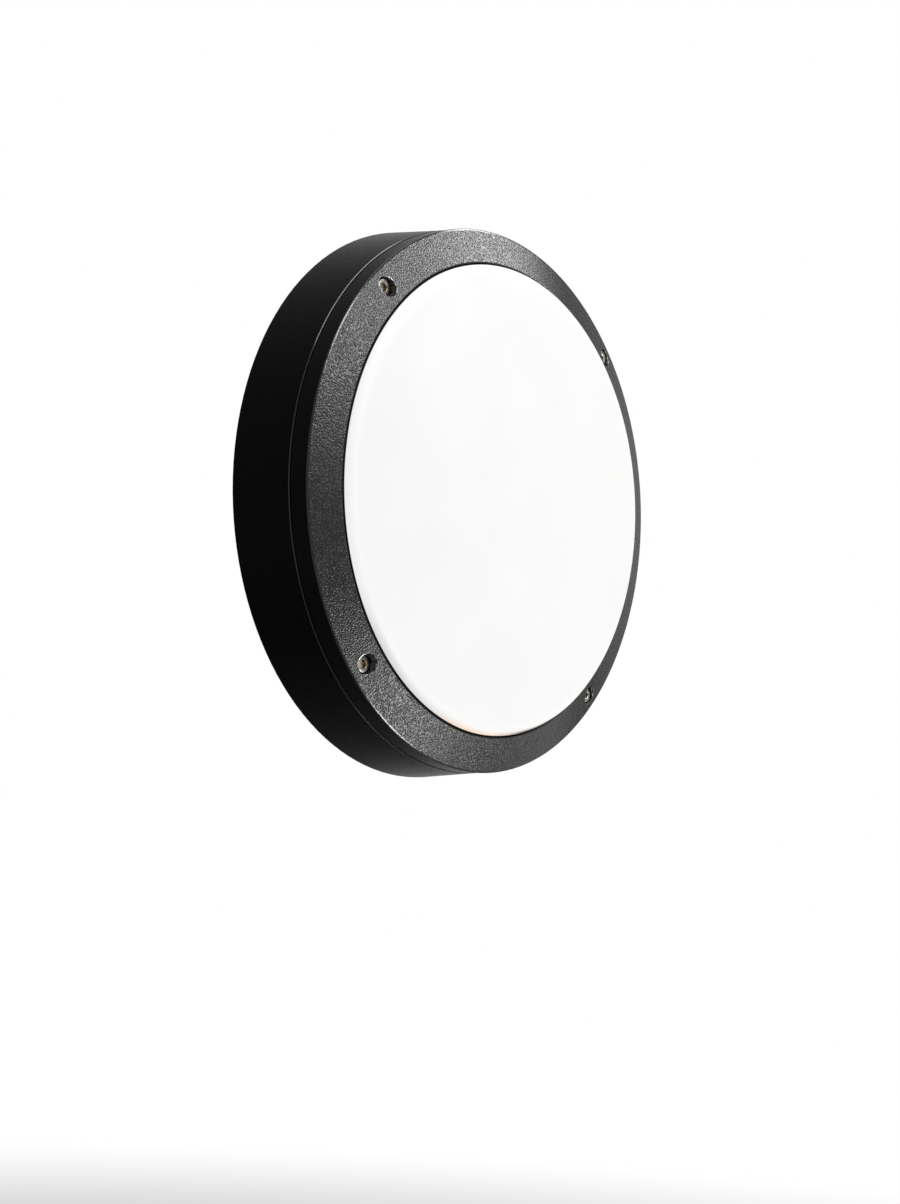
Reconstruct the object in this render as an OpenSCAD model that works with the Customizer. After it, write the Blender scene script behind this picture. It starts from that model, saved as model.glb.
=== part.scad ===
// Round wall light with a die-cast housing and bezel, an opal diffuser, and an LED board and driver inside.
// The origin is the centre of the back on the wall. The light faces -Y, and +Z is up.
// Each sub-part is drawn lying on the wall, with z as its height above it, and out() stands it up.

/* [Outline] */
// Diameter of the bezel's straight edge
rim_d = 280; // [233:1:340]
// Height above the wall of the joint line round the side
seam_h = 34.5; // [31:0.5:45]
// Height of the bezel's straight edge above the joint line
skirt_h = 10.8; // [9:0.1:14]
// Radial width of the bezel's sloped ring
ring_w = 18.5; // [17:0.5:22]
// Rise of the sloped ring from its outer to its inner edge
ring_rise = 7; // [6:0.5:10]
// Draft angle of the housing's side
side_draft = 4.8; // [1:0.1:6]

/* [Castings] */
// Wall of the housing's side
side_wall = 3.2; // [2.8:0.1:4]
// Wall of the housing's back
back_wall = 3; // [2.5:0.1:4]
// Depth of the recess in the back, inside its bearing ring
back_recess = 2.5; // [2:0.1:3.5]
// Radial width of the ring that bears on the wall
base_ring_w = 11; // [10:0.5:14]
// Wall of the bezel
bezel_wall = 3; // [2.4:0.1:3.4]
// Rounding of the bezel's outer edge
edge_round = 1; // [0.6:0.1:2]
// Step by which the housing's edge stands out past the bezel
edge_step = 0.4; // [0:0.1:0.8]
// Width of the housing's sloped edge at the joint line
edge_slope_w = 0.9; // [0.5:0.1:1.5]
// Open gap at the joint line
seam_gap = 0.4; // [0.2:0.1:0.8]
// Height of the housing's spigot inside the bezel
spigot_h = 3; // [2:0.5:4]
// Width of the spigot
spigot_w = 2.3; // [1.8:0.1:3]
// Thickness of the ribs in both castings
rib_t = 2; // [1.5:0.1:3]

/* [Cover screws] */
// Distance from the bezel's edge to each cover screw
screw_inset = 9; // [8.5:0.5:11]
// Thread diameter of the cover screws
screw_d = 5; // [4:0.5:5]
// Length of the cover screws under their heads
screw_len = 16; // [12:1:20]
// Diameter of the socket heads
head_d = 8.5; // [7:0.5:8.5]
// Height of the socket heads
head_h = 5; // [4:0.5:5]
// Width across the flats of the hexagon sockets
socket_af = 4; // [3:0.5:4]
// Diameter of the counterbores in the bezel
counterbore_d = 10; // [9:0.5:10]
// Depth of the head's face below the ring at the screw's centre
head_below = 1.7; // [0:0.1:2.5]
// Metal under each head
seat_t = 3; // [2.5:0.5:4]
// Wall of the bezel's screw bosses
boss_wall = 1.5; // [1.2:0.1:1.6]

/* [Diffuser] */
// Gap between the diffuser and the bezel's opening
diffuser_gap = 0.7; // [0.4:0.1:1]
// Wall of the diffuser
diffuser_wall = 2.8; // [2:0.1:3.5]
// Height of the diffuser's corner above the bezel's inner edge
diffuser_stand = 3.2; // [2:0.1:6]
// Rounding of the diffuser's corner
corner_round = 3; // [2:0.1:4]
// Rise of the domed face
dome_rise = 5; // [2:0.5:12]
// Thickness of the clamped flange
flange_t = 2.6; // [2:0.1:3]
// Depth of the bezel's inner edge
lip_depth = 4.4; // [4:0.1:5.5]

/* [Gaskets] */
// Width of the diffuser gasket
gasket_w = 3.4; // [2.8:0.1:4]
// Height of the diffuser gasket
gasket_h = 4; // [3:0.1:5]
// Height of the gasket above its groove
gasket_proud = 1.4; // [1:0.1:2]
// Wall inside the gasket groove
rim_wall = 1.8; // [1.5:0.1:2.5]
// Metal left between the gasket groove and a screw's notch
notch_wall = 1.1; // [0.9:0.1:1.5]
// Width of the foam gasket against the wall
foam_w = 4; // [3:0.5:5]

/* [Wall fixing] */
// Number of fixing holes
fixing_count = 3; // [3:1:4]
// Distance of the fixing holes from the inside of the gasket rim
fixing_inset = 22.5; // [20:0.5:26]
// Diameter of the fixing holes
fixing_d = 5.5; // [4.5:0.5:6]
// Diameter of the pads round the fixing holes
fixing_pad_d = 18; // [15:1:20]

/* [Cable entry] */
// Diameter of the hole in the back
entry_d = 20; // [18:1:22]
// Bore of the grommet
cable_d = 8; // [6:0.5:10]
// Wall of the grommet
grommet_wall = 1.5; // [1.2:0.1:2]
// Height of the grommet's sleeve inside the housing
sleeve_h = 7; // [4:0.5:9]
// Wall of the cable clamp's arch
clamp_wall = 2.2; // [1.8:0.1:3]
// Width of the cable clamp along the cable
clamp_d = 9; // [7:0.5:10]
// Height of the clamp's feet
clamp_foot_h = 4; // [3:0.5:5]

/* [Gear tray] */
// Gap between the driver and the tray above it
tray_gap = 2.5; // [2:0.5:6]
// Thickness of the sheet
tray_t = 1; // [0.8:0.1:1.2]
// Radial width of the tray's sloped wall
tray_slope_w = 14.5; // [12:0.5:18]
// Distance of the tray's screws inside its bend
tray_screw_inset = 7.5; // [7:0.5:9]

/* [LED board] */
// Distance between the board's edge and the tray's bend
board_margin = 21; // [20:1:30]
// Thickness of the board
board_t = 1.6; // [1:0.1:2]
// Side of each LED package
chip_w = 3; // [2:0.5:3.5]
// Height of each LED package
chip_h = 0.7; // [0.5:0.1:1]
// Radius of the innermost ring of LED packages
chip_ring = 12; // [10:1:16]
// Distance between the rings, and about that along them
chip_pitch = 15; // [12:1:18]

/* [Driver] */
// Length of the driver's case
driver_l = 84; // [70:1:84]
// Width of the driver's case
driver_w = 38; // [30:1:38]
// Height of the driver
driver_h = 20; // [16:0.5:26]
// Height of the case's lid
driver_lid_h = 5; // [4:0.5:8]
// Length of each fixing ear
ear_l = 10; // [9:0.5:10]
// Thickness of the fixing ears
ear_t = 2.5; // [2:0.5:3]

/* [Terminals] */
// Distance between the terminals
way_pitch = 10; // [9:0.5:10]
// Depth of the block along the wires
block_d = 22; // [20:1:22]
// Height of the block
block_h = 15; // [14:0.5:16]
// Thickness of the block's fixing ears
block_ear_t = 3.5; // [3:0.5:4]
// Diameter of the mains wires over their insulation
wire_d = 2.4; // [2:0.1:2.4]
// Diameter of the LED wires over their insulation
led_wire_d = 1.6; // [1.4:0.1:1.8]

/* [Hidden] */
$fn = 96;

// Clearances: round a screw's thread in its hole, round a screw through a plate, round a pushed-in piece,
// round a wire, between a screw's tip and the end of its hole, and round a wire beside a post
thread_gap = 0.1;
hole_gap = 0.25;
fit_gap = 0.3;
wire_gap = 0.3;
tip_gap = 1;
post_gap = 0.5;
// How far a rib or boss reaches into the wall that carries it
root = 0.6;
// How far a cut runs past the face it opens
past = 1;

// Bezel
rim_r = rim_d / 2;
rim_top = seam_h + skirt_h;
opening_r = rim_r - ring_w;
ring_top = rim_top + ring_rise;
ring_angle = atan2(ring_rise, ring_w);
skirt_in_r = rim_r - bezel_wall;
skirt_bottom = seam_h + seam_gap;
function ring_z(r) = rim_top + (rim_r - r) * ring_rise / ring_w;
function under_z(r) = ring_z(r) - bezel_wall / cos(ring_angle);

// Cover screws, seen from the front
screw_r = rim_r - screw_inset;
screw_angles = [45, 135, 225, 315];
head_top = ring_z(screw_r) - head_below;
seat_z = head_top - head_h;
stop_z = seat_z - seat_t;
bezel_boss_r = counterbore_d / 2 + boss_wall;
notch_r = bezel_boss_r + fit_gap;
housing_boss_r = bezel_boss_r - 1;

// Diffuser, its gasket and the rim below it
diffuser_r = opening_r - diffuser_gap;
diffuser_in_r = diffuser_r - diffuser_wall;
corner_z = ring_top + diffuser_stand;
dome_top = corner_z + dome_rise;
flange_top = ring_top - lip_depth;
flange_bottom = flange_top - flange_t;
groove_gap = 0.2;
groove_out_r = screw_r - notch_r - notch_wall;
groove_in_r = groove_out_r - gasket_w - 2 * groove_gap;
groove_z = flange_bottom - gasket_h;
rim_out_r = groove_out_r + rim_wall;
rim_in_r = groove_in_r - rim_wall;
rim_z = flange_bottom - gasket_proud;
flange_r = rim_out_r + 0.6;
land_r = flange_r + 0.5;

// Housing
floor_z = back_recess + back_wall;
side_r = rim_r + edge_step;
base_r = side_r + seam_h * tan(side_draft);
function wall_in_r(z) = side_r + (seam_h - z) * tan(side_draft) - side_wall;
base_in_r = base_r - base_ring_w;
foam_out_r = base_r - side_wall - groove_gap;
foam_in_r = foam_out_r - foam_w;
spigot_r = skirt_in_r - fit_gap;
spigot_in_r = spigot_r - spigot_w;
rim_leg_r = rim_in_r + side_wall;
pad_h = 2;
pad_z = floor_z + pad_h;
fixing_r = rim_in_r - fixing_inset;
fixing_angles = [for (i = [0 : fixing_count - 1]) 90 + i * 360 / fixing_count];

// Cable entry and grommet at the centre of the back
entry_r = entry_d / 2;
flange_out_r = entry_r + 3;
grommet_bottom = back_recess - grommet_wall;
grommet_top = floor_z + grommet_wall;
sleeve_top = grommet_top + sleeve_h;

// Screws that hold the inner pieces: thread diameter, head diameter, head height, length
tray_screw = [4, 8, 2.6, 10];
board_screw = [3, 5.6, 1.9, 4];
driver_screw = [3.5, 6.4, 2.2, 5];
clamp_screw = [3, 5.6, 1.9, 8];
block_screw = [3, 5.6, 1.9, 6];
ring_screw = [4, 7.6, 2.6, 6.5];
// Radius of the boss for an inner screw
function screw_boss_r(s) = s[0] / 2 + 2.75;

// Driver above the cable entry, and the tray over it
driver_y = flange_out_r + 6 + driver_w / 2;
driver_top = pad_z + driver_h;
ear_x = driver_l / 2 + ear_l / 2;
tray_z = driver_top + tray_gap;
tray_top = tray_z + tray_t;
tray_r = rim_in_r - 1;
tray_flat_r = tray_r - tray_slope_w;
tray_lip_z = flange_bottom - 3;
tray_screw_r = tray_flat_r - tray_screw_inset;
board_r = tray_flat_r - board_margin;
board_top = tray_top + board_t;
// Radius of the round notches in the board's edge, and of the hole at its centre
board_notch_r = 2.5;

// LED connector and the bush for its wires, on one radius of the tray
lead_angle = 157.5;
bush_r = board_r + 9;
bush_bore_r = 3;
connector_r = board_r - 9;
connector_l = 9;
connector_w = 10;
connector_h = 4.2;
lead_z = board_top + connector_h / 2;
board_screw_r = board_r - 5;
board_screw_angles = [for (i = [0 : 3]) lead_angle - 45 + i * 90];

// Cable clamp below the cable entry
arch_in_r = cable_d / 2 + 0.5;
arch_out_r = arch_in_r + clamp_wall;
clamp_x = arch_out_r + clamp_screw[1] / 2 + 1;
clamp_y = -flange_out_r - 12;
clamp_z = floor_z + 3.5;

// Terminal block below the clamp
block_y = clamp_y - clamp_d / 2 - 9.5 - block_d / 2;
way_x = [way_pitch, 0, -way_pitch];
block_w = 3 * way_pitch + 2;
block_ear = 8;
block_screw_x = (block_w + block_ear) / 2;
bore_z = pad_z + 6.5;
insert_r = 2.5;
insert_bore_r = wire_d / 2 + wire_gap;
way_screw_y = 5;
way_screw_r = 1.25;
way_head_r = 1.8;

// Earth screw beside the block, with a toothed washer and a ring terminal under its head
earth_at = [-block_w / 2 - 16, block_y - 6];
earth_z = floor_z + 4.5;
washer_t = 0.6;
washer_r = 4.3;
tooth_depth = 0.8;
lug_t = 0.8;
lug_r = 4;
lug_z = earth_z + washer_t;
barrel_wall = 0.7;
barrel_r = wire_d / 2 + barrel_wall;
barrel_angle = -60;

// Posts that guide the mains wires: the x of the live and of the neutral wire, and y
guides = [[driver_l / 2, driver_l / 2 + 4, -30], [37, 40.6, -50]];
post_r = 2;
post_h = 7.5;
post_x = wire_d / 2 + post_gap + post_r;

// Marks of the ejector pins in the floor
ejector_r = 3.5;
ejector_depth = 0.3;
ejector_angles = [0, 62, 118, 180, 242, 298];
ejector_ring_r = 80;

// Stands a piece that was drawn lying on the wall upright, with its height towards -Y
module out() {
    rotate([90, 0, 0]) children();
}

function unit(v) = v / norm(v);

// Points of the arc of radius r that rounds corner b between its neighbours a and c
function corner(a, b, c, r, n) =
    let (
        u = unit(a - b),
        v = unit(c - b),
        half = acos(u * v) / 2,
        m = b + unit(u + v) * r / sin(half),
        s = b + u * r / tan(half) - m,
        e = b + v * r / tan(half) - m,
        start = atan2(s.y, s.x),
        turn = (atan2(e.y, e.x) - start + 540) % 360 - 180
    )
    [for (i = [0 : n]) m + r * [cos(start + turn * i / n), sin(start + turn * i / n)]];

// Outline with its corners rounded, from a list of [x, y, radius]
function rounded(p, n = 5) = [
    for (i = [0 : len(p) - 1])
        let (
            a = p[(i + len(p) - 1) % len(p)],
            b = p[i],
            c = p[(i + 1) % len(p)]
        )
        each b.z > 0 ? corner([a.x, a.y], [b.x, b.y], [c.x, c.y], b.z, n) : [[b.x, b.y]]
];

// Point at radius r and angle a, seen from the front, at height z
function polar(r, a, z) = [r * cos(a), r * sin(a), z];

// Flat plate with rounded corners, centred on the axis
module plate(w, d, h, r) {
    linear_extrude(h) polygon(rounded([
        [-w / 2, -d / 2, r], [w / 2, -d / 2, r], [w / 2, d / 2, r], [-w / 2, d / 2, r]
    ]));
}

// Ring between two radii
module ring(r_out, r_in, h) {
    difference() {
        cylinder(r = r_out, h = h);
        translate([0, 0, -past]) cylinder(r = r_in, h = h + 2 * past);
    }
}

// Radial wall of thickness t, with its outline given in radius and height
module web(t, outline) {
    rotate([90, 0, 0]) translate([0, 0, -t / 2]) linear_extrude(t) polygon(outline);
}

// Pan-head screw with a cross recess; the underside of its head is at z = 0
module pan_screw(s) {
    head_r = s[1] / 2;
    difference() {
        union() {
            rotate_extrude() polygon(rounded([
                [0, 0, 0], [head_r, 0, 0], [head_r, s[2], s[2] * 0.7], [0, s[2], 0]
            ]));
            translate([0, 0, -s[3]]) cylinder(d = s[0], h = s[3] + root);
        }
        for (a = [0, 90]) rotate(a) translate([-head_r * 0.55, -head_r * 0.12, s[2] * 0.4])
            cube([head_r * 1.1, head_r * 0.24, s[2]]);
    }
}

// Smooth curve through the points p, with n steps from each to the next
function curve(p, n) = [
    for (i = [0 : len(p) - 2], k = [0 : n - 1])
        let (
            a = p[max(i - 1, 0)],
            b = p[i],
            c = p[i + 1],
            d = p[min(i + 2, len(p) - 1)],
            s = k / n
        )
        b + s * ((c - a) + s * ((2 * a - 5 * b + 4 * c - d) + s * (3 * b - a - 3 * c + d))) / 2,
    p[len(p) - 1]
];

// Normals carried along the tangents t with no twist, starting from n
function carried(n, t, i = 0) =
    i == len(t) ? [] : let (m = unit(n - (n * t[i]) * t[i])) concat([m], carried(m, t, i + 1));

// Round wire of radius r along the points p, with eight sides
module wire(p, r) {
    q = curve(p, 3);
    sides = 8;
    last = len(q) - 1;
    t = [for (i = [0 : last]) unit(q[min(i + 1, last)] - q[max(i - 1, 0)])];
    m = carried([0.2, 0.3, 1], t);
    points = [
        for (i = [0 : last], k = [0 : sides - 1])
            let (a = k * 360 / sides)
            q[i] + r * (cos(a) * m[i] + sin(a) * cross(t[i], m[i]))
    ];
    side_faces = [
        for (i = [0 : last - 1], k = [0 : sides - 1])
            let (a = i * sides + k, b = i * sides + (k + 1) % sides)
            each [[a, a + sides, b], [b, a + sides, b + sides]]
    ];
    start_face = [for (k = [0 : sides - 1]) k];
    end_face = [for (k = [sides - 1 : -1 : 0]) last * sides + k];
    polyhedron(points, concat(side_faces, [start_face, end_face]));
}

// Section of the housing: back, gasket rim, outer wall with its spigot, and the channel between them
function housing_section() = rounded([
    [0, back_recess, 0],
    [base_in_r, back_recess, 0],
    [base_in_r, 0, 0.5],
    [foam_in_r - groove_gap, 0, 0],
    [foam_in_r - groove_gap, back_recess, 0],
    [foam_out_r + groove_gap, back_recess, 0],
    [foam_out_r + groove_gap, 0, 0],
    [base_r, 0, 0.6],
    [side_r, seam_h - edge_slope_w * ring_rise / ring_w, 0.2],
    [side_r - edge_slope_w, seam_h, 0.2],
    [spigot_r, seam_h, 0],
    [spigot_r, seam_h + spigot_h, 0.6],
    [spigot_in_r, seam_h + spigot_h, 0],
    [spigot_in_r, seam_h - 3, 0],
    [wall_in_r(seam_h - 6), seam_h - 6, 0],
    [wall_in_r(floor_z), floor_z, 3],
    [rim_leg_r, floor_z, 3],
    [rim_leg_r, rim_z - 5 - (rim_out_r - rim_leg_r), 0],
    [rim_out_r, rim_z - 5, 0],
    [rim_out_r, rim_z, 0.4],
    [groove_out_r, rim_z, 0],
    [groove_out_r, groove_z, 0],
    [groove_in_r, groove_z, 0],
    [groove_in_r, rim_z, 0],
    [rim_in_r, rim_z, 0.4],
    [rim_in_r, floor_z, 3],
    [0, floor_z, 0]
]);

// Webs and ribs in the channel between the gasket rim and the outer wall
module channel_ribs() {
    foot = [[rim_leg_r - root, floor_z - root], [wall_in_r(floor_z) + root, floor_z - root]];
    web_top = [[wall_in_r(seam_h - 8) + root, seam_h - 8], [rim_leg_r - root, seam_h - 4]];
    rib_top = [[wall_in_r(floor_z + 9) + root, floor_z + 9], [rim_leg_r - root, floor_z + 16]];
    for (a = screw_angles, i = [0 : 5]) rotate(a + i * 15) web(rib_t, concat(foot, i == 0 ? web_top : rib_top));
}

// Gussets inside the gasket rim, and the pattern of ribs on the back
module stiffeners() {
    gusset = [[rim_in_r + root, floor_z - root], [rim_in_r + root, tray_z - 6], [rim_in_r - 8, floor_z - root]];
    for (i = [0 : 11]) rotate(15 + i * 30) web(rib_t, gusset);
    for (i = [0 : 11]) rotate(i * 30) translate([entry_r + 6, -rib_t / 2, 0.5])
        cube([base_in_r - entry_r - 6 + root, rib_t, back_recess - 0.5 + root]);
    translate([0, 0, 0.5]) ring(fixing_r + rib_t / 2, fixing_r - rib_t / 2, back_recess - 0.5 + root);
}

// Boss of radius r at [x, y], from inside the floor up to height z
module boss(at, r, z) {
    translate([at.x, at.y, floor_z - root])
        cylinder(r1 = r + (z - floor_z) * 0.03, r2 = r, h = z - floor_z + root);
}

module rear_housing() color([0.07, 0.07, 0.075]) out() {
    difference() {
        union() {
            rotate_extrude() polygon(housing_section());
            channel_ribs();
            stiffeners();
            for (a = screw_angles) boss(polar(screw_r, a, 0), housing_boss_r, stop_z);
            for (a = screw_angles) boss(polar(tray_screw_r, a, 0), screw_boss_r(tray_screw), tray_z);
            for (a = fixing_angles) translate(polar(fixing_r, a, 0)) cylinder(d = fixing_pad_d, h = pad_z);
            cylinder(r = flange_out_r + 4, h = floor_z - root);
            for (x = [-ear_x, ear_x]) boss([x, driver_y], screw_boss_r(driver_screw), pad_z);
            for (x = [-block_screw_x, block_screw_x]) boss([x, block_y], screw_boss_r(block_screw), pad_z);
            for (x = [-clamp_x, clamp_x]) boss([x, clamp_y], screw_boss_r(clamp_screw), clamp_z);
            boss(earth_at, screw_boss_r(ring_screw), earth_z);
            for (g = guides, x = [g[0] - post_x, g[1] + post_x]) boss([x, g[2]], post_r, floor_z + post_h);
        }
        // Notches that let the bezel's bosses pass the rim
        for (a = screw_angles) translate(polar(screw_r, a, stop_z)) cylinder(r = notch_r, h = rim_z);
        // Tapped holes
        for (a = screw_angles) tapped(polar(screw_r, a, stop_z), screw_d, screw_len - seat_t);
        for (a = screw_angles) tapped(polar(tray_screw_r, a, tray_z), tray_screw[0], tray_screw[3] - tray_t);
        for (x = [-ear_x, ear_x]) tapped([x, driver_y, pad_z], driver_screw[0], driver_screw[3] - ear_t);
        for (x = [-block_screw_x, block_screw_x])
            tapped([x, block_y, pad_z], block_screw[0], block_screw[3] - block_ear_t);
        for (x = [-clamp_x, clamp_x])
            tapped([x, clamp_y, clamp_z], clamp_screw[0], clamp_screw[3] - clamp_foot_h);
        tapped([earth_at.x, earth_at.y, earth_z], ring_screw[0], ring_screw[3] - washer_t - lug_t);
        // Wall fixing holes and cable entry
        for (a = fixing_angles) translate(polar(fixing_r, a, -past))
            cylinder(d = fixing_d, h = pad_z + 2 * past);
        translate([0, 0, -past]) cylinder(r = entry_r, h = floor_z + 2 * past);
        translate([0, 0, -past]) cylinder(r = flange_out_r + fit_gap, h = back_recess + past);
        // Ejector marks
        for (a = ejector_angles) translate(polar(ejector_ring_r, a, floor_z - ejector_depth))
            cylinder(r = ejector_r, h = past);
    }
}

// Hole for a thread of diameter d that reaches down to depth below its mouth
module tapped(mouth, d, depth) {
    bottom = depth + tip_gap;
    translate([mouth.x, mouth.y, mouth.z - bottom]) cylinder(r = d / 2 + thread_gap, h = bottom + past);
}

// Section of the bezel: skirt, sloped ring and the lip over the diffuser's flange
function bezel_section() = rounded([
    [skirt_in_r, skirt_bottom, 0],
    [rim_r, skirt_bottom, 0.5],
    [rim_r, rim_top, edge_round],
    [opening_r, ring_top, 0.8],
    [opening_r, flange_top, 0],
    [land_r, flange_top, 0],
    [land_r, under_z(land_r), 0],
    [skirt_in_r, under_z(skirt_in_r), 1.5]
]);

module front_bezel() color([0.07, 0.07, 0.075]) out() {
    // Room for the bosses, just under the ring's face
    boss_room = [[opening_r, stop_z], [rim_r - root, stop_z], [rim_r - root, ring_z(rim_r - root) - root],
        [opening_r, ring_top - root]];
    gusset = [[land_r + 0.5, under_z(land_r) + root], [skirt_in_r + root, under_z(skirt_in_r) + root],
        [skirt_in_r + root, stop_z + 0.5]];
    difference() {
        union() {
            rotate_extrude() polygon(bezel_section());
            intersection() {
                rotate_extrude() polygon(boss_room);
                for (a = screw_angles) translate(polar(screw_r, a, stop_z))
                    cylinder(r = bezel_boss_r, h = ring_top);
            }
            for (a = screw_angles, i = [1 : 5]) rotate(a + i * 15) web(rib_t, gusset);
        }
        for (a = screw_angles) translate(polar(screw_r, a, seat_z)) {
            cylinder(d = counterbore_d, h = ring_top);
            translate([0, 0, -seat_t - past]) cylinder(r = screw_d / 2 + hole_gap, h = seat_t + 2 * past);
        }
    }
}

// Height of the diffuser's domed face at radius r
function dome_z(r) =
    let (ball = (diffuser_r * diffuser_r + dome_rise * dome_rise) / (2 * dome_rise))
    dome_top - ball + sqrt(ball * ball - r * r);

module diffuser() color([0.97, 0.97, 0.95]) out() {
    steps = 10;
    face = [for (i = [1 : steps]) let (r = diffuser_r * (1 - i / steps)) [r, dome_z(r), 0]];
    inside = [for (i = [0 : steps - 1]) let (r = diffuser_in_r * i / steps) [r, dome_z(r) - diffuser_wall, 0]];
    section = rounded(concat(
        [
            [diffuser_in_r, flange_bottom, 0],
            [flange_r, flange_bottom, 0.3],
            [flange_r, flange_top, 0.3],
            [diffuser_r, flange_top, 0],
            [diffuser_r, corner_z, corner_round]
        ],
        face,
        inside,
        [[diffuser_in_r, dome_z(diffuser_in_r) - diffuser_wall, 1.5]]
    ));
    difference() {
        rotate_extrude() polygon(section);
        for (a = screw_angles) translate(polar(screw_r, a, flange_bottom - past))
            cylinder(r = notch_r, h = flange_t + 2 * past);
    }
}

module cover_screws() color([0.72, 0.71, 0.69]) out() {
    for (a = screw_angles) translate(polar(screw_r, a, seat_z)) difference() {
        union() {
            rotate_extrude() polygon(rounded([
                [0, 0, 0], [head_d / 2, 0, 0], [head_d / 2, head_h, 0.5], [0, head_h, 0]
            ]));
            translate([0, 0, -screw_len]) cylinder(d = screw_d, h = screw_len + root);
        }
        translate([0, 0, head_h / 2]) cylinder(r = socket_af / 2 / cos(30), h = head_h, $fn = 6);
    }
}

module diffuser_gasket() color([0.16, 0.16, 0.16]) out() {
    section = rounded([
        [groove_in_r + groove_gap, groove_z, 0],
        [groove_in_r + groove_gap + gasket_w, groove_z, 0],
        [groove_in_r + groove_gap + gasket_w, flange_bottom, 0.9],
        [groove_in_r + groove_gap, flange_bottom, 0.9]
    ]);
    rotate_extrude() polygon(section);
}

module wall_gasket() color([0.13, 0.13, 0.13]) out() {
    ring(foam_out_r, foam_in_r, back_recess);
}

module fixing_hole_seals() color([0.1, 0.1, 0.1]) out() {
    for (a = fixing_angles) translate(polar(fixing_r, a, pad_z)) ring(fixing_pad_d / 2 - 2, fixing_d / 2, 1.6);
}

module cable_grommet() color([0.1, 0.1, 0.1]) out() {
    sleeve_r = cable_d / 2 + grommet_wall;
    rotate_extrude() polygon(rounded([
        [cable_d / 2, grommet_bottom, 0],
        [flange_out_r, grommet_bottom, 0.5],
        [flange_out_r, back_recess, 0],
        [entry_r - thread_gap, back_recess, 0],
        [entry_r - thread_gap, floor_z, 0],
        [entry_r + 2.5, floor_z, 0],
        [entry_r + 2.5, grommet_top, 0.5],
        [entry_r - 1, grommet_top, 0],
        [sleeve_r, sleeve_top, 0],
        [cable_d / 2, sleeve_top, 0]
    ]));
}

module cable_clamp() color([0.85, 0.85, 0.82]) out() {
    width = 2 * clamp_x + 9;
    translate([0, clamp_y, clamp_z]) difference() {
        intersection() {
            union() {
                translate([0, 0, -clamp_foot_h]) plate(width, clamp_d, 2 * clamp_foot_h, 1.5);
                rotate([90, 0, 0]) translate([0, 0, -clamp_d / 2]) cylinder(r = arch_out_r, h = clamp_d);
            }
            translate([-width, -clamp_d, 0]) cube([2 * width, 2 * clamp_d, arch_out_r + past]);
        }
        rotate([90, 0, 0]) translate([0, 0, -clamp_d]) cylinder(r = arch_in_r, h = 2 * clamp_d);
        for (x = [-clamp_x, clamp_x]) translate([x, 0, -past])
            cylinder(r = clamp_screw[0] / 2 + hole_gap, h = clamp_foot_h + 2 * past);
    }
}

module cable_clamp_screws() color([0.75, 0.75, 0.73]) out() {
    for (x = [-clamp_x, clamp_x]) translate([x, clamp_y, clamp_z + clamp_foot_h]) pan_screw(clamp_screw);
}

module terminal_block() color([0.9, 0.9, 0.87]) out() {
    base_h = 5;
    tower_w = way_pitch - 1.4;
    translate([0, block_y, pad_z]) difference() {
        union() {
            plate(block_w, block_d, base_h, 1);
            plate(block_w + 2 * block_ear, 9, block_ear_t, 2);
            for (x = way_x) translate([x, 0, 0]) plate(tower_w, block_d - 2, block_h, 1);
        }
        for (x = way_x) translate([x, 0, 0]) {
            translate([0, 0, bore_z - pad_z]) rotate([90, 0, 0]) translate([0, 0, -block_d])
                cylinder(r = insert_r + thread_gap, h = 2 * block_d);
            for (y = [-way_screw_y, way_screw_y]) translate([0, y, bore_z - pad_z])
                cylinder(r = way_head_r + hole_gap, h = block_h);
        }
        for (x = [-block_screw_x, block_screw_x]) translate([x, 0, -past])
            cylinder(r = block_screw[0] / 2 + hole_gap, h = block_ear_t + 2 * past);
    }
}

module terminal_inserts() color([0.8, 0.65, 0.3]) out() {
    length = block_d - 4;
    for (x = way_x) translate([x, block_y, bore_z]) difference() {
        rotate([90, 0, 0]) translate([0, 0, -length / 2]) cylinder(r = insert_r, h = length);
        rotate([90, 0, 0]) translate([0, 0, -length]) cylinder(r = insert_bore_r, h = 2 * length);
        for (y = [-way_screw_y, way_screw_y]) translate([0, y, 0])
            cylinder(r = way_screw_r + thread_gap, h = insert_r + past);
    }
}

module terminal_screws() color([0.78, 0.78, 0.75]) out() {
    tip = wire_d / 2 + 0.1;
    head_z = insert_r + 0.4;
    head_t = 2.2;
    slot_w = 0.6;
    for (x = way_x, y = [-way_screw_y, way_screw_y]) translate([x, block_y + y, bore_z]) difference() {
        union() {
            translate([0, 0, tip]) cylinder(r = way_screw_r, h = head_z + root - tip);
            translate([0, 0, head_z]) cylinder(r = way_head_r, h = head_t);
        }
        translate([-2, -slot_w / 2, head_z + head_t - 1]) cube([4, slot_w, 2]);
    }
}

module terminal_block_screws() color([0.75, 0.75, 0.73]) out() {
    for (x = [-block_screw_x, block_screw_x]) translate([x, block_y, pad_z + block_ear_t])
        pan_screw(block_screw);
}

module earth_screw() color([0.8, 0.66, 0.32]) out() {
    translate([earth_at.x, earth_at.y, lug_z + lug_t]) pan_screw(ring_screw);
}

module earth_washer() color([0.75, 0.75, 0.73]) out() {
    teeth = 12;
    outline = [
        for (i = [0 : 2 * teeth - 1])
            (washer_r - (i % 2) * tooth_depth) * [cos(i * 180 / teeth), sin(i * 180 / teeth)]
    ];
    translate([earth_at.x, earth_at.y, earth_z]) difference() {
        linear_extrude(washer_t) polygon(outline);
        translate([0, 0, -past]) cylinder(r = ring_screw[0] / 2 + hole_gap, h = washer_t + 2 * past);
    }
}

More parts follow.
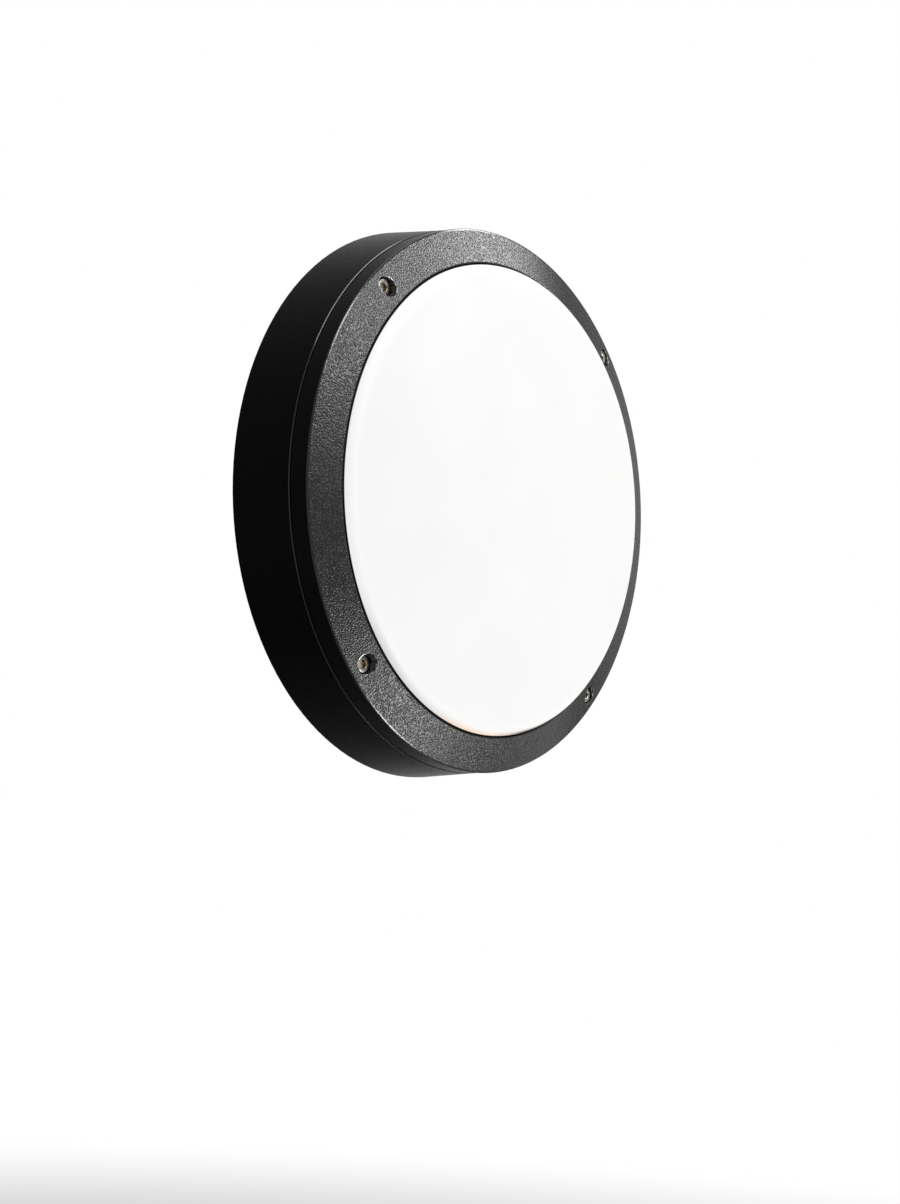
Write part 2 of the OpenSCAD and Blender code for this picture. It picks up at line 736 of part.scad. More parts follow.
module earth_ring_terminal() color([0.78, 0.78, 0.76]) out() {
    barrel_from = 5.6;
    barrel_to = 12;
    translate([earth_at.x, earth_at.y, lug_z]) rotate(barrel_angle) difference() {
        union() {
            cylinder(r = lug_r, h = lug_t);
            translate([0, -barrel_r + 0.3, 0]) cube([barrel_from + 0.5, 2 * barrel_r - 0.6, lug_t]);
            translate([barrel_from, 0, barrel_r]) rotate([0, 90, 0])
                cylinder(r = barrel_r, h = barrel_to - barrel_from);
        }
        translate([0, 0, -past]) cylinder(r = ring_screw[0] / 2 + hole_gap, h = lug_t + 2 * past);
        translate([barrel_from + 0.8, 0, barrel_r]) rotate([0, 90, 0])
            cylinder(r = wire_d / 2 + thread_gap, h = barrel_to);
    }
}

// Where a mains wire ends under the block's outgoing screw
function way_end(i) = [way_x[i], block_y - 2.5, bore_z];
// Where a wire leaves the driver's case
driver_wire_z = pad_z + 6.5;
function driver_end(side, y) = [side * (driver_l / 2 - 1.5), y, driver_wire_z];
low_z = floor_z + 4.5;
driver_wire_y = [driver_y - 14, driver_y - 10];
function guide_point(i, k) = [guides[i][k], guides[i][2], low_z];

module live_wire() color([0.45, 0.25, 0.12]) out() {
    x = driver_l / 2;
    y = block_y - block_d / 2;
    wire([
        driver_end(1, driver_wire_y[0]), [x + 4.5, driver_wire_y[0], driver_wire_z], [x + 9, 18, 13],
        [x + 9, 6, 11], [x + 5, -12, low_z], guide_point(0, 0), guide_point(1, 0), [31, -64, low_z],
        [22, -71, low_z],
        [way_x[0] + 4, y - 9, 12], [way_x[0], y - 3.5, bore_z], way_end(0)
    ], wire_d / 2);
}

module neutral_wire() color([0.12, 0.3, 0.65]) out() {
    x = driver_l / 2;
    y = block_y - block_d / 2;
    wire([
        driver_end(1, driver_wire_y[1]), [x + 5, driver_wire_y[1], driver_wire_z], [x + 12.5, 21, 13],
        [x + 13, 6, 11], [x + 9, -12, low_z], guide_point(0, 1), guide_point(1, 1), [34, -67, low_z],
        [22, -75.5, low_z],
        [way_x[1] + 8, y - 14, 12], [way_x[1] + 1, y - 8.5, 13], [way_x[1], y - 2.5, bore_z], way_end(1)
    ], wire_d / 2);
}

module earth_wire() color([0.35, 0.6, 0.2]) out() {
    y = block_y - block_d / 2;
    along = [cos(barrel_angle), sin(barrel_angle), 0];
    lug = [earth_at.x, earth_at.y, lug_z + barrel_r];
    wire([
        way_end(2), [way_x[2], y - 2.5, bore_z], [way_x[2] - 1, y - 9, 13], [way_x[2] - 4.5, y - 14, 12.5],
        [way_x[2] - 10, y - 14.5, lug.z], lug + 16 * along, lug + 12 * along, lug + 8 * along
    ], wire_d / 2);
}

module driver_case() color([0.88, 0.88, 0.86]) out() {
    case_h = driver_h - driver_lid_h;
    translate([0, driver_y, pad_z]) difference() {
        union() {
            plate(driver_l, driver_w, case_h, 3);
            plate(driver_l + 2 * ear_l, 9, ear_t, 4);
            for (x = [-1, 1]) translate([x * driver_l / 2, 0, ear_t]) rotate([90, 0, 0]) translate([0, 0, -0.8])
                linear_extrude(1.6) polygon([[x * -1, -1], [x * 1.8, -1], [x * -1, 6]]);
            // Upright ribs along both sides
            for (i = [-3 : 3]) translate([i * 10, 0, 0]) plate(1.2, driver_w + 1.2, case_h - 2, 0.4);
        }
        // Wire outlets, and the screw holes in the ears
        for (x = [-1, 1], y = driver_wire_y) translate([x * driver_l / 2, y - driver_y, driver_wire_z - pad_z])
            rotate([0, 90, 0]) translate([0, 0, -3]) cylinder(r = wire_d / 2 + wire_gap, h = 6);
        for (x = [-ear_x, ear_x]) translate([x, 0, -past])
            cylinder(r = driver_screw[0] / 2 + hole_gap, h = ear_t + 2 * past);
        // Shadow line under the lid
        translate([0, 0, case_h - 0.6]) difference() {
            plate(driver_l + 2, driver_w + 2, 1, 3);
            translate([0, 0, -past]) plate(driver_l - 1.2, driver_w - 1.2, 1 + 2 * past, 2.4);
        }
    }
}

module driver_lid() color([0.88, 0.88, 0.86]) out() {
    translate([0, driver_y, driver_top - driver_lid_h]) difference() {
        plate(driver_l, driver_w, driver_lid_h, 3);
        for (i = [-4 : 4]) translate([i * 7, 0, driver_lid_h - 0.6]) plate(2, driver_w - 12, 1, 0.9);
    }
}

module driver_screws() color([0.75, 0.75, 0.73]) out() {
    for (x = [-ear_x, ear_x]) translate([x, driver_y, pad_z + ear_t]) pan_screw(driver_screw);
}

module gear_tray() color([0.95, 0.95, 0.94]) out() {
    lip = 3;
    section = rounded([
        [0, tray_z, 0],
        [tray_flat_r, tray_z, 2.5],
        [tray_r - lip, tray_lip_z - tray_t, 0.5],
        [tray_r, tray_lip_z - tray_t, 0],
        [tray_r, tray_lip_z, 0],
        [tray_r - lip - 0.6, tray_lip_z, 1.5],
        [tray_flat_r - 0.6, tray_top, 1.5],
        [0, tray_top, 0]
    ]);
    difference() {
        rotate_extrude() polygon(section);
        for (a = screw_angles) translate(polar(tray_screw_r, a, tray_z - past))
            cylinder(r = tray_screw[0] / 2 + hole_gap, h = tray_t + 2 * past);
        for (a = board_screw_angles) translate(polar(board_screw_r, a, tray_z - past))
            cylinder(r = board_screw[0] / 2 + thread_gap, h = tray_t + 2 * past);
        translate(polar(bush_r, lead_angle, tray_z - past))
            cylinder(r = bush_bore_r + grommet_wall, h = tray_t + 2 * past);
    }
}

module gear_tray_screws() color([0.75, 0.75, 0.73]) out() {
    for (a = screw_angles) translate(polar(tray_screw_r, a, tray_top)) pan_screw(tray_screw);
}

module tray_wire_bush() color([0.1, 0.1, 0.1]) out() {
    neck_r = bush_bore_r + grommet_wall - thread_gap;
    translate(polar(bush_r, lead_angle, tray_z)) rotate_extrude() polygon([
        [bush_bore_r, -1.2], [neck_r + 1.2, -1.2], [neck_r + 1.2, 0], [neck_r, 0],
        [neck_r, tray_t], [neck_r + 1.2, tray_t], [neck_r + 1.2, tray_t + 1.2], [bush_bore_r, tray_t + 1.2]
    ]);
}

module led_board() color([0.93, 0.93, 0.92]) out() {
    translate([0, 0, tray_top]) difference() {
        cylinder(r = board_r, h = board_t);
        for (a = board_screw_angles) translate(polar(board_screw_r, a, -past))
            cylinder(r = board_screw[0] / 2 + hole_gap, h = board_t + 2 * past);
        for (a = [0, 180]) translate(polar(board_r, lead_angle + 90 + a, -past))
            cylinder(r = board_notch_r, h = board_t + 2 * past);
        translate([0, 0, -past]) cylinder(r = board_notch_r, h = board_t + 2 * past);
    }
}

module led_chips() color([0.95, 0.85, 0.4]) out() {
    for (r = [chip_ring : chip_pitch : board_r - 18]) {
        count = floor(2 * PI * r / (chip_pitch - 1));
        for (i = [0 : count - 1]) rotate(i * 360 / count) translate([r - chip_w / 2, -chip_w / 2, board_top])
            cube([chip_w, chip_w, chip_h]);
    }
}

module led_board_screws() color([0.75, 0.75, 0.73]) out() {
    for (a = board_screw_angles) translate(polar(board_screw_r, a, board_top)) pan_screw(board_screw);
}

module led_connector() color([0.96, 0.96, 0.94]) out() {
    rotate(lead_angle) translate([connector_r, 0, board_top]) difference() {
        plate(connector_l, connector_w, connector_h, 0.6);
        for (s = [-1, 1]) {
            translate([0, s * connector_w / 5, connector_h / 2]) rotate([0, 90, 0])
                cylinder(r = led_wire_d / 2 + wire_gap, h = connector_l);
            translate([-connector_l / 5, s * connector_w / 5, connector_h - 0.8]) plate(2.4, 2, 2, 0.3);
        }
    }
}

// LED wire from the driver, up through the bush and into the connector; side is 1 or -1
module led_wire(side) {
    face_r = connector_r + connector_l / 2;
    y = driver_wire_y[side > 0 ? 1 : 0];
    x = driver_l / 2;
    apart = [-sin(lead_angle), cos(lead_angle), 0] * -side;
    foot = polar(bush_r, lead_angle, tray_z) + 1.2 * apart;
    wire([
        driver_end(-1, y), [-x - 4.5, y, driver_wire_z],
        [foot.x * 0.7 - x * 0.3, foot.y * 0.6 + y * 0.4, driver_wire_z + 0.5],
        [foot.x, foot.y, tray_z - 6], [foot.x, foot.y, tray_z + 1],
        polar(bush_r - 2, lead_angle, tray_top + 4.6) + 1.4 * apart,
        polar(bush_r - 6.5, lead_angle, lead_z + 1.2) + 1.8 * apart,
        polar(face_r + 2.5, lead_angle, lead_z) + 2 * apart,
        polar(face_r - 2.5, lead_angle, lead_z) + 2 * apart
    ], led_wire_d / 2);
}

module led_positive_wire() color([0.7, 0.1, 0.08]) out() led_wire(1);

module led_negative_wire() color([0.08, 0.08, 0.08]) out() led_wire(-1);

rear_housing();
front_bezel();
diffuser();
cover_screws();
diffuser_gasket();
wall_gasket();
fixing_hole_seals();
cable_grommet();
cable_clamp();
cable_clamp_screws();
terminal_block();
terminal_inserts();
terminal_screws();
terminal_block_screws();
earth_screw();
earth_washer();
earth_ring_terminal();
live_wire();
neutral_wire();
earth_wire();
driver_case();
driver_lid();
driver_screws();
gear_tray();
gear_tray_screws();
tray_wire_bush();
led_board();
led_chips();
led_board_screws();
led_connector();
led_positive_wire();
led_negative_wire();
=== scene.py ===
# %% [markdown]
# # A round wall light
#
# The light is a shallow drum of die-cast aluminium with a sloped front ring, a domed opal diffuser and four
# socket screws. The CAD model already holds every solid, to size and in place. This lesson gives each of
# them the finish that the real one has, and makes the front pieces again with softer edges than the CAD
# carries.

import math

import bmesh
import bpy
import numpy as np
from mathutils import Matrix, Vector


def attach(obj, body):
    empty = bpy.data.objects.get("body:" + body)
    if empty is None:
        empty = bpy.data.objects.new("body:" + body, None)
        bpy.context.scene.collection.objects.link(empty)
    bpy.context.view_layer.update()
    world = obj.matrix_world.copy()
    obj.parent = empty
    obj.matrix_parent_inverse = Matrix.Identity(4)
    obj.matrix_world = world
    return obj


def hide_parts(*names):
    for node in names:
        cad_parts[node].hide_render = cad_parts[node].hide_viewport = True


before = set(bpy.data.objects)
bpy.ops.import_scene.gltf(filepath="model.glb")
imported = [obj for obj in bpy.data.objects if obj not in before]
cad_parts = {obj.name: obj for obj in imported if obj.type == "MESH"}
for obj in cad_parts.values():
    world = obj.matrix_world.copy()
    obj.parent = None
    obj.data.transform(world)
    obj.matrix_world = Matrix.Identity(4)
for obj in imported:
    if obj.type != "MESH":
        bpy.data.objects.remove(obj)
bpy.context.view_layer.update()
MM = 0.001
print("nodes:", len(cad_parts))

# %% [markdown]
# ## The camera
#
# The photograph was taken from the left of the light and a little below it, with a long lens. The camera's
# place was worked out from the picture's circles and screws, so here it is only written down: where it
# stands, which way it looks, and which way is up in the picture. A camera looks along its own -Z, so the
# third column of its matrix is the view direction turned round. Its first two columns are the picture's
# right and its up.

# %% Camera at the photograph's angle
CAMERA_AT = Vector((-0.96675, -0.80120, -0.17473))
LOOKS_ALONG = Vector((0.77527, 0.62389, 0.09855)).normalized()
PICTURE_UP = Vector((-0.10906, -0.02145, 0.99380))
LENS_MM, SENSOR_MM = 71.76, 36

picture_right = LOOKS_ALONG.cross(PICTURE_UP).normalized()
camera_turn = Matrix((picture_right, picture_right.cross(LOOKS_ALONG), -LOOKS_ALONG)).transposed()
camera_data = bpy.data.cameras.new("camera")
camera_data.lens = LENS_MM
camera_data.sensor_width = SENSOR_MM
camera_data.clip_start = 0.01
camera = bpy.data.objects.new("camera", camera_data)
camera.matrix_world = Matrix.Translation(CAMERA_AT) @ camera_turn.to_4x4()
bpy.context.scene.collection.objects.link(camera)
bpy.context.scene.camera = camera
print("camera to the light's centre, mm:", round(CAMERA_AT.length / MM))

# %% [markdown]
# ## A helper for node trees
#
# Every finish below is a small network of nodes. `Nodes` adds a node, sets its sockets and links its inputs
# in one line, so that each material reads from its pattern to its shader. A value given as a socket becomes
# a link; any other value is written on the socket itself. The light is round, so many patterns ask how far
# a point lies from the light's axis: `place` gives that distance.

# %% Short way to write node trees
class Nodes:
    """Adds nodes to a tree. Keywords are socket names; `at` picks sockets by number where names repeat."""

    def __init__(self, tree):
        self.tree = tree

    def add(self, kind, at=None, props=None, **sockets):
        """New node with its settings (props) and its sockets set or linked."""
        node = self.tree.nodes.new("ShaderNode" + kind)
        for key, value in (props or {}).items():
            setattr(node, key, value)
        wanted = {name.replace("_", " "): value for name, value in sockets.items()}
        for key, value in {**wanted, **(at or {})}.items():
            socket = node.inputs[key]
            if isinstance(value, bpy.types.NodeSocket):
                self.link(value, socket)
            else:
                socket.default_value = value
        return node

    def link(self, value, socket):
        """Feeds a value into a socket that is there already."""
        self.tree.links.new(value, socket)

    def math(self, operation, a, b=0.0):
        """One operation on a and b."""
        return self.add("Math", at={0: a, 1: b}, props={"operation": operation}).outputs[0]

    def fit(self, value, lo, hi, to_lo=0.0, to_hi=1.0, smooth=True):
        """value carried from lo..hi to to_lo..to_hi, held at both ends."""
        kind = "SMOOTHSTEP" if smooth else "LINEAR"
        node = self.add("MapRange", props={"interpolation_type": kind, "clamp": True}, Value=value,
                        From_Min=lo, From_Max=hi, To_Min=to_lo, To_Max=to_hi)
        return node.outputs["Result"]

    def mix(self, factor, a, b):
        """Colour a where factor is 0 and colour b where it is 1."""
        return self.add("Mix", at={0: factor, 6: a, 7: b}, props={"data_type": "RGBA"}).outputs[2]

    def noise(self, point, scale, detail=2.0, roughness=0.5):
        """Cloudy pattern between 0 and 1, with about scale clouds to the metre."""
        node = self.add("TexNoise", Vector=point, Scale=scale, Detail=detail, Roughness=roughness)
        return node.outputs["Fac"]

    def bump(self, height, depth, strength=1.0, normal=None):
        """Normal that follows a height between 0 and 1, standing depth metres tall."""
        more = {} if normal is None else {"Normal": normal}
        return self.add("Bump", Height=height, Distance=depth, Strength=strength, **more).outputs["Normal"]

    def place(self, point):
        """The point's x, y and z, and its distance from the light's axis, sqrt(x^2 + z^2)."""
        x, y, z = self.add("SeparateXYZ", Vector=point).outputs[:3]
        squares = self.math("ADD", self.math("MULTIPLY", x, x), self.math("MULTIPLY", z, z))
        return x, y, z, self.math("SQRT", squares)

    def seen(self):
        """1 where a ray shows the surface, directly or mirrored, and 0 where it only carries light."""
        ray = self.add("LightPath").outputs
        mirrored = self.math("MAXIMUM", ray["Is Glossy Ray"], ray["Is Transmission Ray"])
        return self.math("MAXIMUM", ray["Is Camera Ray"], mirrored)


print("node helper's calls:", [call for call in vars(Nodes) if call[0] != "_"])

# %% Greys and new materials
def grey(level, blue=0.0):
    """A neutral linear colour, a little bluer where blue is above 0."""
    return (level, level, level * (1 + blue), 1.0)


def new_material(name):
    """Material with a node tree, which starts as one Principled shader."""
    material = bpy.data.materials.new(name)
    material.use_nodes = True
    return material


def shader_and_nodes(material):
    """The material's Principled shader, and the helper for its node tree."""
    shader = next(node for node in material.node_tree.nodes if node.type == "BSDF_PRINCIPLED")
    return shader, Nodes(material.node_tree)


print("a middle grey:", grey(0.2))

# %% [markdown]
# ## Surfaces from arrays
#
# Every new piece is a grid of points: one parameter runs along a section or a path, the other goes round
# it. numpy works out all the points at once, and each grid becomes rows of four-cornered faces. A piece may
# join several grids. Where their edges share points, welding closes the seams, so the print for each piece
# should say that no edge is left open.

# %% Grids, welding and one call for a finished piece
def grid_faces(rows, columns):
    """Corner numbers of the faces between neighbouring rows and columns; the last column joins the first."""
    i, j = np.meshgrid(np.arange(rows - 1), np.arange(columns), indexing="ij")
    k = (j + 1) % columns
    corners = [i * columns + j, i * columns + k, (i + 1) * columns + k, (i + 1) * columns + j]
    return np.stack(corners, -1).reshape(-1, 4)


WELD_M = 2e-7


def make_piece(name, surfaces, material, slot, *replaced, sharp=30.0, masks=None):
    """Joins (points in mm, faces) surfaces into one welded mesh, faces outwards, and hangs it on the frame.

    Edges that turn by more than sharp degrees stay sharp. masks holds one value per point under each name.
    """
    points = np.concatenate([np.reshape(p, (-1, 3)) for p, f in surfaces]) * MM
    starts = np.cumsum([0] + [np.size(p) // 3 for p, f in surfaces])
    faces = np.concatenate([f + start for (p, f), start in zip(surfaces, starts)])
    mesh = bpy.data.meshes.new(name)
    mesh.from_pydata(points, [], faces.tolist())
    for label, values in (masks or {}).items():
        mesh.attributes.new(label, "FLOAT", "POINT").data.foreach_set("value", np.ravel(values))
    welded = bmesh.new()
    welded.from_mesh(mesh)
    bmesh.ops.remove_doubles(welded, verts=welded.verts, dist=WELD_M)
    bmesh.ops.recalc_face_normals(welded, faces=welded.faces)
    open_edges = sum(not edge.is_manifold for edge in welded.edges)
    welded.to_mesh(mesh)
    welded.free()
    mesh.shade_smooth()
    mesh.set_sharp_from_angle(angle=math.radians(sharp))
    mesh.materials.append(material)
    piece = bpy.data.objects.new(name, mesh)
    bpy.context.scene.collection.objects.link(piece)
    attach(piece, "root")
    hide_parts(*replaced)
    print(f"{name}: {len(mesh.vertices)} points, {len(mesh.polygons)} faces, open edges {open_edges}")
    return piece


# %% [markdown]
# Sections are drawn as the drawing of a turned part is: corners first, each with the radius that rounds it.
# The radius matters, because a real edge is never sharp: a painted casting has about half a millimetre
# there, and that thin band is what catches the light.

# %% Sections with rounded corners
def rounded(outline, steps=6):
    """Section through (a, b, radius) corners.

    At a corner with half angle h, the arc's centre lies radius / sin(h) along the bisector, and the arc
    touches both sides at radius / tan(h) from the corner.
    """
    outline = np.array(outline, float)
    corner, radius = outline[:, :2], outline[:, 2:]
    to_last, to_next = np.roll(corner, 1, 0) - corner, np.roll(corner, -1, 0) - corner
    to_last /= np.linalg.norm(to_last, axis=1, keepdims=True)
    to_next /= np.linalg.norm(to_next, axis=1, keepdims=True)
    half = np.arccos(np.clip((to_last * to_next).sum(1, keepdims=True), -1, 1)) / 2
    bisector = to_last + to_next
    bisector /= np.maximum(np.linalg.norm(bisector, axis=1, keepdims=True), 1e-9)
    centre = corner + bisector * radius / np.sin(half)
    start = corner + to_last * radius / np.tan(half) - centre
    end = corner + to_next * radius / np.tan(half) - centre
    first = np.arctan2(start[:, 1], start[:, 0])[:, None]
    turn = (np.arctan2(end[:, 1], end[:, 0])[:, None] - first + np.pi) % (2 * np.pi) - np.pi
    angle = first + turn * np.linspace(0, 1, steps + 1)
    arcs = centre[:, None] + radius[:, None] * np.stack([np.cos(angle), np.sin(angle)], -1)
    return np.concatenate([arc if r > 0 else arc[:1] for arc, r in zip(arcs, radius[:, 0])])


print("points of a rounded square:", len(rounded([(0, 0, 1), (9, 0, 1), (9, 9, 1), (0, 9, 1)])))

# %% Finer sections
def run_length(points):
    """Distance along a line of points, from the first point to each of them."""
    return np.concatenate([[0], np.cumsum(np.linalg.norm(np.diff(points, axis=0), axis=1))])


def refined(section, step):
    """The closed section with more points on its long sides, so that none is longer than step."""
    loop = np.vstack([section, section[:1]])
    length = run_length(loop)
    parts = np.maximum(np.ceil(np.diff(length) / step - 1e-6), 1).astype(int)
    within = np.concatenate([np.arange(count) / count for count in parts])
    along = np.repeat(length[:-1], parts) + within * np.repeat(np.diff(length), parts)
    return np.stack([np.interp(along, length, loop[:, k]) for k in (0, 1)], 1)


print("points of a square, made finer:", len(refined(np.array([[0, 0], [9, 0], [9, 9], [0, 9]]), 3)))

# %% [markdown]
# Most pieces are drawn lying on the wall, seen from the front, and then stood upright: the drawing's x and
# y become X and Z, and its height becomes the distance from the wall, along -Y. A turned piece carries its
# section round the light's axis, as a lathe does.

# %% From a drawing to points of the light
def spun(x, y, angle):
    """x and y turned by an angle: (x cos a - y sin a, x sin a + y cos a)."""
    return x * math.cos(angle) - y * math.sin(angle), x * math.sin(angle) + y * math.cos(angle)


def upright(x, y, height):
    """Points of a piece drawn lying on the wall: x to the right, y up, height out of the wall, along -Y."""
    x, y, height = np.broadcast_arrays(x, y, height)
    return np.stack([x, -height, y], -1)


def turned(section, columns, closed=True, limit=None):
    """Revolved section: at angle a, (r, h) goes to (r cos a, r sin a) at height h. limit(a) caps r."""
    angle = np.linspace(0, 2 * np.pi, columns, endpoint=False)
    section = np.vstack([section, section[:1]]) if closed else section
    r, h = section[:, :1], section[:, 1:]
    r = r if limit is None else np.minimum(r, limit(angle))
    return upright(r * np.cos(angle), r * np.sin(angle), h), grid_faces(len(section), columns)


print("points of a turned square:", turned(np.array([[8, 0], [9, 0], [9, 1], [8, 1]]), 12)[0].shape)

# %% [markdown]
# ## Shared effects as node groups
#
# A pattern that several finishes use, such as the grain of sprayed powder, is built once as a node group. A
# group here gives out masks and normals only. The Principled shader stays in each material, with its plain
# numbers on its own sockets, so that an exporter can read them.

# %% A group that is filled by one function
def effect(name, outputs, fill, inputs=()):
    """Node group with (name, kind) sockets. fill(nodes, inputs, point) returns one socket per output."""
    tree = bpy.data.node_groups.new(name, "ShaderNodeTree")
    for label, kind, start in inputs:
        socket = tree.interface.new_socket(label, in_out="INPUT", socket_type="NodeSocket" + kind)
        socket.default_value = start
    for label, kind in outputs:
        tree.interface.new_socket(label, in_out="OUTPUT", socket_type="NodeSocket" + kind)
    nodes = Nodes(tree)
    given = tree.nodes.new("NodeGroupInput")
    result = tree.nodes.new("NodeGroupOutput")
    point = nodes.add("TexCoord").outputs["Object"]
    for label, socket in zip([o[0] for o in outputs], fill(nodes, given.outputs, point)):
        tree.links.new(socket, result.inputs[label])
    return tree


MASKS = (("Fine", "Float"), ("Slow", "Float"), ("Normal", "Vector"))
STRENGTH = (("Strength", "Float", 1.0),)
print("an effect gives:", [label for label, kind in MASKS])

# %% [markdown]
# Three effects give a fine mask, a slow mask and a normal. Their sizes are those of the real surfaces,
# because a pattern that is too large makes the whole object look small. A fourth group marks the castings'
# outer edges.

# %% Grain, moulded skin and scratches
def powder_grain(n, given, point):
    """Powder melts into small domes just under a millimetre wide, on waves about four millimetres long.

    The height is half domes, 1 at a cell's middle and 0 at its edge, and half finer specks.
    """
    domes = n.add("TexVoronoi", props={"feature": "SMOOTH_F1"}, Vector=point, Scale=1100.0, Smoothness=0.35)
    dome = n.fit(domes.outputs["Distance"], 0.0, 0.8, 1.0, 0.0)
    speck = n.noise(point, 1550.0, 2.0, 0.6)
    wave = n.noise(point, 260.0, 1.0)
    height = n.math("ADD", n.math("MULTIPLY", dome, 0.5), n.math("MULTIPLY", speck, 0.5))
    normal = n.bump(wave, 0.00006, 0.5, n.bump(height, 0.00024, given["Strength"]))
    return height, wave, normal


def moulded_skin(n, given, point):
    """Spark-eroded steel leaves a fine even roughness in moulded plastic; slow clouds are the melt's flow."""
    fine = n.noise(point, 3800.0, 3.0, 0.65)
    flow = n.noise(point, 90.0, 2.0)
    return fine, flow, n.bump(fine, 0.00002, given["Strength"])


def handled_metal(n, given, point):
    """Bright fasteners carry fine scratches, which are noise drawn out along y, and bloom in patches."""
    stretched = n.add("Mapping", Vector=point, Scale=(1.0, 0.08, 1.0)).outputs[0]
    scratch = n.noise(stretched, 9000.0, 2.0, 0.6)
    bloom = n.noise(point, 700.0, 3.0, 0.55)
    return scratch, bloom, n.bump(scratch, 0.000006, given["Strength"])


powder = effect("powder grain", MASKS, powder_grain, STRENGTH)
skin = effect("moulded skin", MASKS, moulded_skin, STRENGTH)
metal = effect("handled metal", MASKS, handled_metal, STRENGTH)
print("effects:", [group.name for group in (powder, skin, metal)])

# %% Edges of the castings
EDGE_CIRCLES = ((0.1400, 0.0453), (0.1215, 0.0523), (0.1404, 0.0343), (0.1433, 0.0))
EDGE_BAND = 0.00105, 0.00090


def casting_edges(n, given, point):
    """Mask that rises from 0 to 1 over the edge band, near the edge circles (radius and height in metres).

    The distance to a circle is sqrt((radius - its radius)^2 + (y + its height)^2), and the nearest circle
    counts.
    """
    x, y, z, radius = n.place(point)
    nearest = 1.0
    for edge_r, edge_h in EDGE_CIRCLES:
        out, off = n.math("SUBTRACT", radius, edge_r), n.math("ADD", y, edge_h)
        away = n.math("SQRT", n.math("ADD", n.math("MULTIPLY", out, out), n.math("MULTIPLY", off, off)))
        nearest = n.math("MINIMUM", nearest, away)
    return (n.fit(nearest, *EDGE_BAND),)


edges = effect("casting edges", (("Edge", "Float"),), casting_edges)
print("edge circles:", len(EDGE_CIRCLES), "nodes in the group:", len(edges.nodes))

# %% [markdown]
# ## One way to build a finish
#
# Most finishes differ in two colours, a range of roughness and a few constants. `finish` builds them all:
# the effect's slow mask moves the colour between its two ends, and its fine mask moves the roughness.

# %% Finish from an effect
def finish(name, group, dark, light, rough, strength=1.0, **shader):
    """Principled material: its colour runs from dark to light, and its roughness over rough=(low, high)."""
    material = new_material(name)
    base, n = shader_and_nodes(material)
    pattern = n.add("Group", props={"node_tree": group}, Strength=strength)
    fine, slow, normal = (pattern.outputs[k] for k in ("Fine", "Slow", "Normal"))
    n.link(n.mix(n.fit(slow, 0.35, 0.65), dark, light), base.inputs["Base Color"])
    n.link(n.fit(fine, 0.25, 0.75, *rough), base.inputs["Roughness"])
    n.link(normal, base.inputs["Normal"])
    for key, value in shader.items():
        base.inputs[key.replace("_", " ")].default_value = value
    material.diffuse_color = light
    return material


def two_tone(material, attribute, limit, other, beyond=True):
    """Gives the finish another colour where the mesh's attribute is beyond the limit, or where it isn't."""
    base, n = shader_and_nodes(material)
    value = n.add("Attribute", props={"attribute_name": attribute}).outputs["Fac"]
    part = n.math("GREATER_THAN" if beyond else "LESS_THAN", value, limit)
    colour = base.inputs["Base Color"].links[0].from_socket
    n.link(n.mix(part, colour, other), base.inputs["Base Color"])


def wear(*nodes_and_material):
    """Puts the last argument's material on each of the named CAD nodes."""
    *names, material = nodes_and_material
    for name in names:
        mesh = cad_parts[name].data
        mesh.materials.clear()
        mesh.materials.append(material)


print("CAD nodes that take a finish:", len(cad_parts))

# %% [markdown]
# ## The castings
#
# Both castings are blasted and sprayed with black powder in a fine-textured grade. It is matt, yet each
# melted grain is smooth, so the coat glitters where a lamp is mirrored. Melted powder draws back from an
# edge, so the edges are smooth, and catch the lamps as thin lines. The screw holes are cut after the
# spraying, so a fine broken line of bare metal shows round them.

# %% Black textured powder coat
BARE_METAL = grey(0.16)
EDGE_ON = 0.54, 0.655


def powder_coat(name, dark, light, rough, strength, ior, flat_gloss=1.0):
    """Powder finish, smoother along the castings' edges, and bare in patches where a mesh's "cut" mask is 1.

    At an edge the roughness falls to 0.55 of itself and the grain's strength to a tenth. flat_gloss scales
    the gloss. Under 1, the black coat also turns metallic where it is seen edge-on, because a black metal
    mirrors less there than a varnish does.
    """
    material = finish(name, powder, dark, light, rough, strength, IOR=ior, Specular_Tint=grey(flat_gloss))
    base, n = shader_and_nodes(material)
    pattern = base.inputs["Normal"].links[0].from_node
    colour, roughness = (base.inputs[k].links[0].from_socket for k in ("Base Color", "Roughness"))
    cut = n.add("Attribute", props={"attribute_name": "cut"}).outputs["Fac"]
    patches = n.fit(n.noise(n.add("TexCoord").outputs["Object"], 500.0), 0.40, 0.56)
    bare = n.math("MULTIPLY", cut, patches)
    edge = n.math("MAXIMUM", n.add("Group", props={"node_tree": edges}).outputs["Edge"], cut)
    edge_on = n.fit(n.add("LayerWeight", Blend=0.5).outputs["Facing"], *EDGE_ON)
    n.link(n.mix(bare, colour, BARE_METAL), base.inputs["Base Color"])
    n.link(n.math("MAXIMUM", bare, edge_on) if flat_gloss < 1 else bare, base.inputs["Metallic"])
    n.link(n.math("MULTIPLY", roughness, n.fit(edge, 0.0, 1.0, 1.0, 0.55)), base.inputs["Roughness"])
    n.link(n.fit(edge, 0.0, 1.0, strength, 0.1 * strength), pattern.inputs["Strength"])
    return material


print("bare metal's colour:", BARE_METAL)

# %% [markdown]
# The spray gun faces the sloped ring squarely, which gets the full texture. The drum's side is passed at a
# slant: its coat comes out thinner, smoother and duller. So there are two settings of one recipe, and the
# side's low IOR keeps it deep black. Inside and on the back it faces the gun squarely again, so a clear
# layer adds some sheen there.

